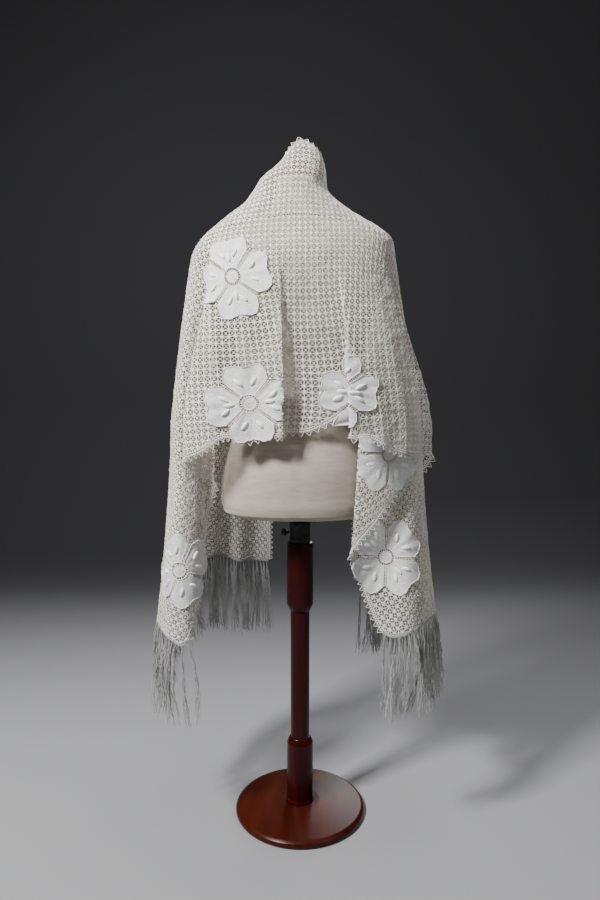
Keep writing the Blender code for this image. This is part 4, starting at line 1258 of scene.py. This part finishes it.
form = {
    "bottom": 0.704,
    "neckTop": 1.426,
    "sides": 96,
    "rows": 88,
    "seamDepth": 0.0012,
    "seamWidth": 0.0022,
    "neckSeam": (1.341, 1.3),  # height at the middle of the back, and how it falls to the sides
    "threadRadius": 0.0012,
    "pipingRadius": 0.0026,
    "finialTop": 1.486,
    "plateRadius": 0.045,
    "plateThickness": 0.004,
    "plateBore": 0.0123,
    "gap": 0.0003,
    "seams": (-math.pi, -1.62, -0.62, 0.0, 0.62, 1.62, -2.5, 2.5),  # turns of the upright seams
    "seamReach": 1.15,  # how far round the neck seam's thread shows
    "roundedFoot": 0.722,
}

# height, half width, back, front
formTable = [
    (0.704, 0.150, 0.098, 0.086), (0.709, 0.164, 0.107, 0.096), (0.722, 0.172, 0.114, 0.103),
    (0.755, 0.1757, 0.118, 0.106), (0.820, 0.1660, 0.121, 0.103), (0.880, 0.1480, 0.109, 0.098),
    (0.930, 0.1320, 0.096, 0.092), (0.975, 0.1240, 0.088, 0.088), (1.030, 0.1300, 0.093, 0.097),
    (1.090, 0.1410, 0.103, 0.117), (1.150, 0.1520, 0.1135, 0.136), (1.205, 0.1620, 0.1182, 0.124),
    (1.250, 0.1740, 0.1105, 0.101), (1.283, 0.1860, 0.093, 0.081), (1.301, 0.1860, 0.080, 0.066),
    (1.316, 0.1620, 0.075, 0.057), (1.330, 0.1240, 0.072, 0.052), (1.345, 0.0880, 0.069, 0.050),
    (1.362, 0.0640, 0.064, 0.049), (1.390, 0.0530, 0.058, 0.047), (1.426, 0.0500, 0.054, 0.046),
]


def closedLoft(name, rings, material):
    # rings of points from the bottom up, closed by a face at each end
    count = len(rings[0])
    points = np.concatenate(rings)
    faces = []
    for k in range(len(rings) - 1):
        for i in range(count):
            j = (i + 1) % count
            faces.append((k * count + i, k * count + j, (k + 1) * count + j, (k + 1) * count + i))
    last = (len(rings) - 1) * count
    faces.append(tuple(range(count - 1, -1, -1)))
    faces.append(tuple(range(last, last + count)))
    mesh = meshOf(name, points, faces)
    mesh.materials.append(material)
    return mesh


def hollowLoft(name, rings, material):
    # rings of points whose last one meets the first, as on a tube or a ring
    count, sides = len(rings), len(rings[0])
    faces = []
    for k in range(count):
        a, b = k * sides, (k + 1) % count * sides
        faces += [(a + i, a + (i + 1) % sides, b + (i + 1) % sides, b + i) for i in range(sides)]
    mesh = meshOf(name, np.concatenate(rings), faces)
    mesh.materials.append(material)
    return mesh


def torsoMesh():
    table = np.array(formTable)
    foot = np.linspace(form["bottom"], form["roundedFoot"], 7)[:-1]
    low = np.concatenate([foot, np.linspace(form["roundedFoot"], form["neckTop"], form["rows"])])
    reach = smoothCurve(table[:, 0], table[:, 1:], low)
    turns = np.linspace(-math.pi, math.pi, form["sides"], endpoint=False)
    rings = []
    for height, (half, back, front) in zip(low, reach):
        ring = levelOutline(turns, half, half, back, front)
        size = np.linalg.norm(ring, axis=1, keepdims=True)
        groove = np.zeros(len(turns))
        for seam in form["seams"]:
            gap = np.abs((turns - seam + math.pi) % (2 * math.pi) - math.pi) * size[:, 0]
            groove += np.exp(-((gap / form["seamWidth"]) ** 2))
        middle, fall = form["neckSeam"]
        groove += np.exp(-(((height - middle + fall * ring[:, 0] ** 2) / form["seamWidth"]) ** 2))
        ring = ring * (1 - form["seamDepth"] * np.clip(groove, 0, 1)[:, None] / size)
        rings.append(np.column_stack([ring, np.full(len(turns), height)]))
    return closedLoft("formTorso", rings, materials["formLinen"])


def seamShadowMesh():
    # a stitched thread round the foot of the neck in the seam's groove, coloured near-black as painted shadow
    # of that groove
    table = np.array(formTable)
    middle, fall = form["neckSeam"]
    turns = np.linspace(-form["seamReach"], form["seamReach"], 90)
    path = []
    for turn in turns:
        height = middle
        for _ in range(6):
            half, back, front = smoothCurve(table[:, 0], table[:, 1:], np.array([height]))[0]
            place = levelOutline(np.array([turn]), half, half, back, front)[0]
            height = middle - fall * place[0] ** 2
        path.append((place[0], place[1], height))
    line = Threads()
    line.add(path)
    return runTree("neckSeam", line.mesh("neckSeam"), looseThreads, {
        "Radius": form["threadRadius"], "Sides": 6, "Material": materials["seamShadowThread"],
    })


addPiece("formTorso", torsoMesh(), "form", ["torso"], 50)
# the neck seam's thread, its near-black colour painted shadow of the groove
addPiece("neckSeam", seamShadowMesh(), "form", (), 0)


def turned(name, profile, body, nodes, slot, material, sides=96, bore=0.0, smooth=32):
    # a turned piece from a profile of radius and height that runs up its outside
    radii = [r for r, _ in profile]
    heights = [z for _, z in profile]
    if bore:
        radii, heights = radii + [bore, bore], heights + [heights[-1], heights[0]]
    angles = np.linspace(0, 2 * math.pi, sides, endpoint=False)
    rings = []
    for r, z in zip(radii, heights):
        rings.append(np.column_stack([r * np.cos(angles), r * np.sin(angles), np.full(sides, z)]))
    loft = hollowLoft if bore else closedLoft
    addPiece(name, loft(name, rings, material), body, nodes, smooth)


def pipingMesh():
    radius = form["pipingRadius"]
    half, back, front = formTable[-1][1:]
    turns = np.linspace(-math.pi, math.pi, 120, endpoint=False)
    rings = []
    for angle in np.linspace(0, 2 * math.pi, 12, endpoint=False):
        inset = radius * math.cos(angle) - radius
        ring = levelOutline(turns, half + inset, half + inset, back + inset, front + inset)
        height = form["neckTop"] + form["gap"] + radius + radius * math.sin(angle)
        rings.append(np.column_stack([ring, np.full(len(turns), height)]))
    return hollowLoft("neckPiping", rings, materials["redPiping"])


addPiece("neckPiping", pipingMesh(), "form", ["neck_piping"], 0)


def rounded(profile, steps=3, most=0.0022, share=0.35):
    # each inner corner of a profile softened with a short arc
    places = [np.array(profile[0])]
    for before, here, after in zip(profile, profile[1:], profile[2:]):
        before, here, after = map(np.array, (before, here, after))
        cut = min(most, share * np.linalg.norm(here - before), share * np.linalg.norm(after - here))
        start, end = here + unit(before - here) * cut, here + unit(after - here) * cut
        for step in range(steps + 1):
            t = step / steps
            places.append(start * (1 - t) ** 2 + here * 2 * t * (1 - t) + end * t**2)
    places.append(np.array(profile[-1]))
    return [tuple(place) for place in places]


capTop = form["neckTop"] + form["gap"] + 2 * form["pipingRadius"] + 0.004
finialTop = form["finialTop"]
finialProfile = [
    (0.040, form["neckTop"] + form["gap"]), (0.040, capTop - 0.003), (0.036, capTop), (0.014, capTop + 0.003),
    (0.010, capTop + 0.010), (0.014, capTop + 0.017), (0.020, capTop + 0.030),
    (0.0205, capTop + 0.040), (0.016, finialTop - 0.006), (0.008, finialTop), (0.002, finialTop),
]
turned("neckFinial", rounded(finialProfile), "form", ["neck_finial"], "dark_wood", materials["postMahogany"])
plateTop, plateBore = form["bottom"] - form["gap"], form["plateBore"]
plateProfile = rounded([
    (plateBore, plateTop - form["plateThickness"]), (form["plateRadius"], plateTop - form["plateThickness"]),
    (form["plateRadius"], plateTop), (plateBore, plateTop),
])[:-1] + [(0.014, plateTop)]
turned("formPlate", plateProfile, "form", ["form_plate"], "black_iron",
       materials["blackIron"], bore=plateBore)
print("form made")

# The stand

stand = {
    "baseRadius": 0.150, "baseHeight": 0.024, "sleeveRadius": 0.030, "lowerSleeveTop": 0.180,
    "postRadius": 0.0215, "upperSleeveBottom": 0.480, "upperSleeveTop": 0.638, "collarRadius": 0.024,
    "collarTop": 0.688, "bore": 0.0125, "rodRadius": 0.0120, "rodBottom": 0.375, "gap": 0.0003,
    "knobHeight": 0.660, "knobRadius": 0.0085, "knobLength": 0.018, "knobLobes": 12,
    "lobeDepth": 0.05, "lobeRim": 0.0025, "boreBottom": 0.370,
}
baseRadius, gap = stand["baseRadius"], stand["gap"]
baseProfile = [
    (0.002, 0.0), (baseRadius - 0.004, 0.0), (baseRadius, 0.005), (baseRadius - 0.001, 0.012),
    (baseRadius - 0.008, 0.017), (baseRadius - 0.014, 0.0175), (0.090, 0.0215), (0.045, stand["baseHeight"]),
    (0.002, stand["baseHeight"]),
]
turned("baseDisc", rounded(baseProfile, 4), "stand", ["base_disc"], "base_mahogany",
       materials["baseMahogany"], 128)
start = stand["baseHeight"] + gap
sleeve, post = stand["sleeveRadius"], stand["postRadius"]
turned("lowerSleeve", rounded([
    (0.002, start), (sleeve + 0.002, start), (sleeve + 0.002, start + 0.004), (sleeve, start + 0.008),
    (sleeve, stand["lowerSleeveTop"] - 0.014), (post + 0.002, stand["lowerSleeveTop"]),
    (0.002, stand["lowerSleeveTop"]),
]), "stand", ["lower_sleeve"], "mahogany", materials["postMahogany"])
turned("postShaft", [
    (post, stand["lowerSleeveTop"] + gap), (post, stand["upperSleeveBottom"] - gap),
    (stand["bore"], stand["upperSleeveBottom"] - gap), (stand["bore"], stand["boreBottom"]),
    (0.002, stand["boreBottom"]),
], "stand", ["post"], "mahogany", materials["postMahogany"])
turned("upperSleeve", rounded([
    (stand["bore"] + 0.001, stand["upperSleeveBottom"]), (post + 0.002, stand["upperSleeveBottom"]),
    (sleeve, stand["upperSleeveBottom"] + 0.016), (sleeve, stand["upperSleeveTop"] - 0.006),
    (sleeve - 0.003, stand["upperSleeveTop"]), (stand["bore"] + 0.001, stand["upperSleeveTop"]),
]), "stand", ["upper_sleeve"], "mahogany", materials["postMahogany"], bore=stand["bore"])
collar, collarStart = stand["collarRadius"], stand["upperSleeveTop"] + gap
turned("clampCollar", rounded([
    (stand["bore"] + 0.001, collarStart), (collar, collarStart), (collar, collarStart + 0.010),
    (collar - 0.0008, collarStart + 0.0112), (collar - 0.0008, stand["collarTop"] - 0.012),
    (collar, stand["collarTop"] - 0.0108), (collar, stand["collarTop"] - 0.003),
    (collar - 0.003, stand["collarTop"]), (stand["bore"] + 0.001, stand["collarTop"]),
]), "stand", ["clamp_collar"], "black_iron", materials["blackIron"], bore=stand["bore"])
turned("mastRod", rounded([
    (0.001, stand["rodBottom"]), (stand["rodRadius"], stand["rodBottom"]),
    (stand["rodRadius"], plateTop - gap), (0.001, plateTop - gap),
]), "mast", ["mast_rod"], "black_iron", materials["blackIron"])


def knobMesh():
    # a clamping screw with a lobed head, its axis level
    radius, length = stand["knobRadius"], stand["knobLength"]
    profile = rounded([
        (0.0005, 0.0), (0.003, 0.0), (0.003, 0.005), (radius - 0.002, 0.006), (radius, 0.009),
        (radius, length - 0.004), (radius - 0.003, length), (0.0005, length),
    ])
    turns = np.linspace(0, 2 * math.pi, 72, endpoint=False)
    rings = []
    for r, reach in profile:
        depth = stand["lobeDepth"] if r > radius - stand["lobeRim"] else 0
        grip = 1 + depth * np.cos(turns * stand["knobLobes"]) - depth
        x = np.full(len(turns), -stand["collarRadius"] - gap - reach)
        across, upward = -r * grip * np.sin(turns), r * grip * np.cos(turns)
        rings.append(np.column_stack([x, across, stand["knobHeight"] + upward]))
    mesh = closedLoft("clampKnob", rings, materials["blackIron"])
    work = bmesh.new()
    work.from_mesh(mesh)
    bmesh.ops.recalc_face_normals(work, faces=work.faces)
    work.to_mesh(mesh)
    work.free()
    return mesh


addPiece("clampKnob", knobMesh(), "knob", ["clamp_knob"], 35)
print("stand made")

for thing in helpers:
    bpy.data.objects.remove(thing, do_unlink=True)

# Floor, light and camera

room = {
    "floorColour": (0.30, 0.30, 0.31), "wallColour": (0.035, 0.035, 0.037),
    "fade": (0.25, 2.1),  # where along Y the floor's colour turns into the wall's
    "frontEdge": -5.0, "wallDistance": 2.6, "bend": 0.9, "height": 5.0, "width": 16.0,
}


def sweepMesh():
    # a floor that bends up into a wall behind
    depth, bend = room["wallDistance"], room["bend"]
    profile = [(room["frontEdge"], 0.0), (depth - bend, 0.0)]
    for a in np.linspace(0.1, math.pi / 2, 14):
        profile.append((depth - bend + bend * math.sin(a), bend - bend * math.cos(a)))
    profile.append((depth, room["height"]))
    points, faces = [], []
    for y, z in profile:
        points += [(-room["width"] / 2, y, z), (room["width"] / 2, y, z)]
    for k in range(len(profile) - 1):
        faces.append((2 * k, 2 * k + 1, 2 * k + 3, 2 * k + 2))
    return meshOf("floorSweep", points, faces)


floorMaterial = bpy.data.materials.new("floorPaper")
floorMaterial.use_nodes = True
floorTree = floorMaterial.node_tree
floorShader = floorTree.nodes["Principled BSDF"]
floorPlace = addNode(floorTree, "ShaderNodeTexCoord").outputs["Object"]
floorDepth = addNode(floorTree, "ShaderNodeSeparateXYZ", {0: floorPlace}).outputs["Y"]
nearEdge, farEdge = room["fade"]
floorFade = addNode(floorTree, "ShaderNodeMapRange", {
    "Value": floorDepth, "From Min": nearEdge, "From Max": farEdge,
}, interpolation_type="SMOOTHSTEP")
floorMix = addNode(floorTree, "ShaderNodeValToRGB", {"Fac": floorFade.outputs["Result"]})
setRamp(floorMix, (0, 1), (room["floorColour"], room["wallColour"]))
floorTree.links.new(floorMix.outputs["Color"], floorShader.inputs["Base Color"])
floorShader.inputs["Roughness"].default_value = 0.9
floorShader.inputs["Specular IOR Level"].default_value = 0.1
floor = bpy.data.objects.new("floorSweep", sweepMesh())
floor.data.materials.append(floorMaterial)
floor.data.shade_smooth()
bpy.context.scene.collection.objects.link(floor)

lamps = {
    "keyLamp": {"place": (-1.35, -1.15, 2.45), "size": 0.4, "power": 148, "aim": (0, 0, 1.25)},
    "fillLamp": {"place": (2.0, -1.5, 2.5), "size": 1.0, "power": 15, "aim": (0, 0, 1.2)},
    "topLamp": {"place": (0.4, 0.3, 2.9), "size": 1.2, "power": 22, "aim": (0, 0, 1.2)},
    "frontLamp": {"place": (0.9, 2.4, 1.6), "size": 1.4, "power": 34, "aim": (0.9, 0, 1.6)},
}
for name, spec in lamps.items():
    light = bpy.data.lights.new(name, "AREA")
    light.size = spec["size"]
    light.energy = spec["power"]
    lamp = bpy.data.objects.new(name, light)
    lamp.location = spec["place"]
    lamp.visible_camera = False
    lamp.rotation_euler = (Vector(spec["aim"]) - Vector(spec["place"])).to_track_quat("-Z", "Y").to_euler()
    bpy.context.scene.collection.objects.link(lamp)

world = bpy.data.worlds.new("softRoom")
world.use_nodes = True
world.node_tree.nodes["Background"].inputs["Color"].default_value = (0.80, 0.84, 0.90, 1)
world.node_tree.nodes["Background"].inputs["Strength"].default_value = 0.065
bpy.context.scene.world = world

view = {"place": (0.0, -1.55, 1.006), "pitch": -5.9, "lens": 28.0, "sensor": 36.0}
camera = bpy.data.cameras.new("photoCamera")
camera.lens = view["lens"]
camera.sensor_width = view["sensor"]
camera.clip_start = 0.01
eye = bpy.data.objects.new("photoCamera", camera)
eye.location = view["place"]
eye.rotation_euler = (math.radians(90 + view["pitch"]), 0, 0)
bpy.context.scene.collection.objects.link(eye)
bpy.context.scene.camera = eye

print("scene ready")
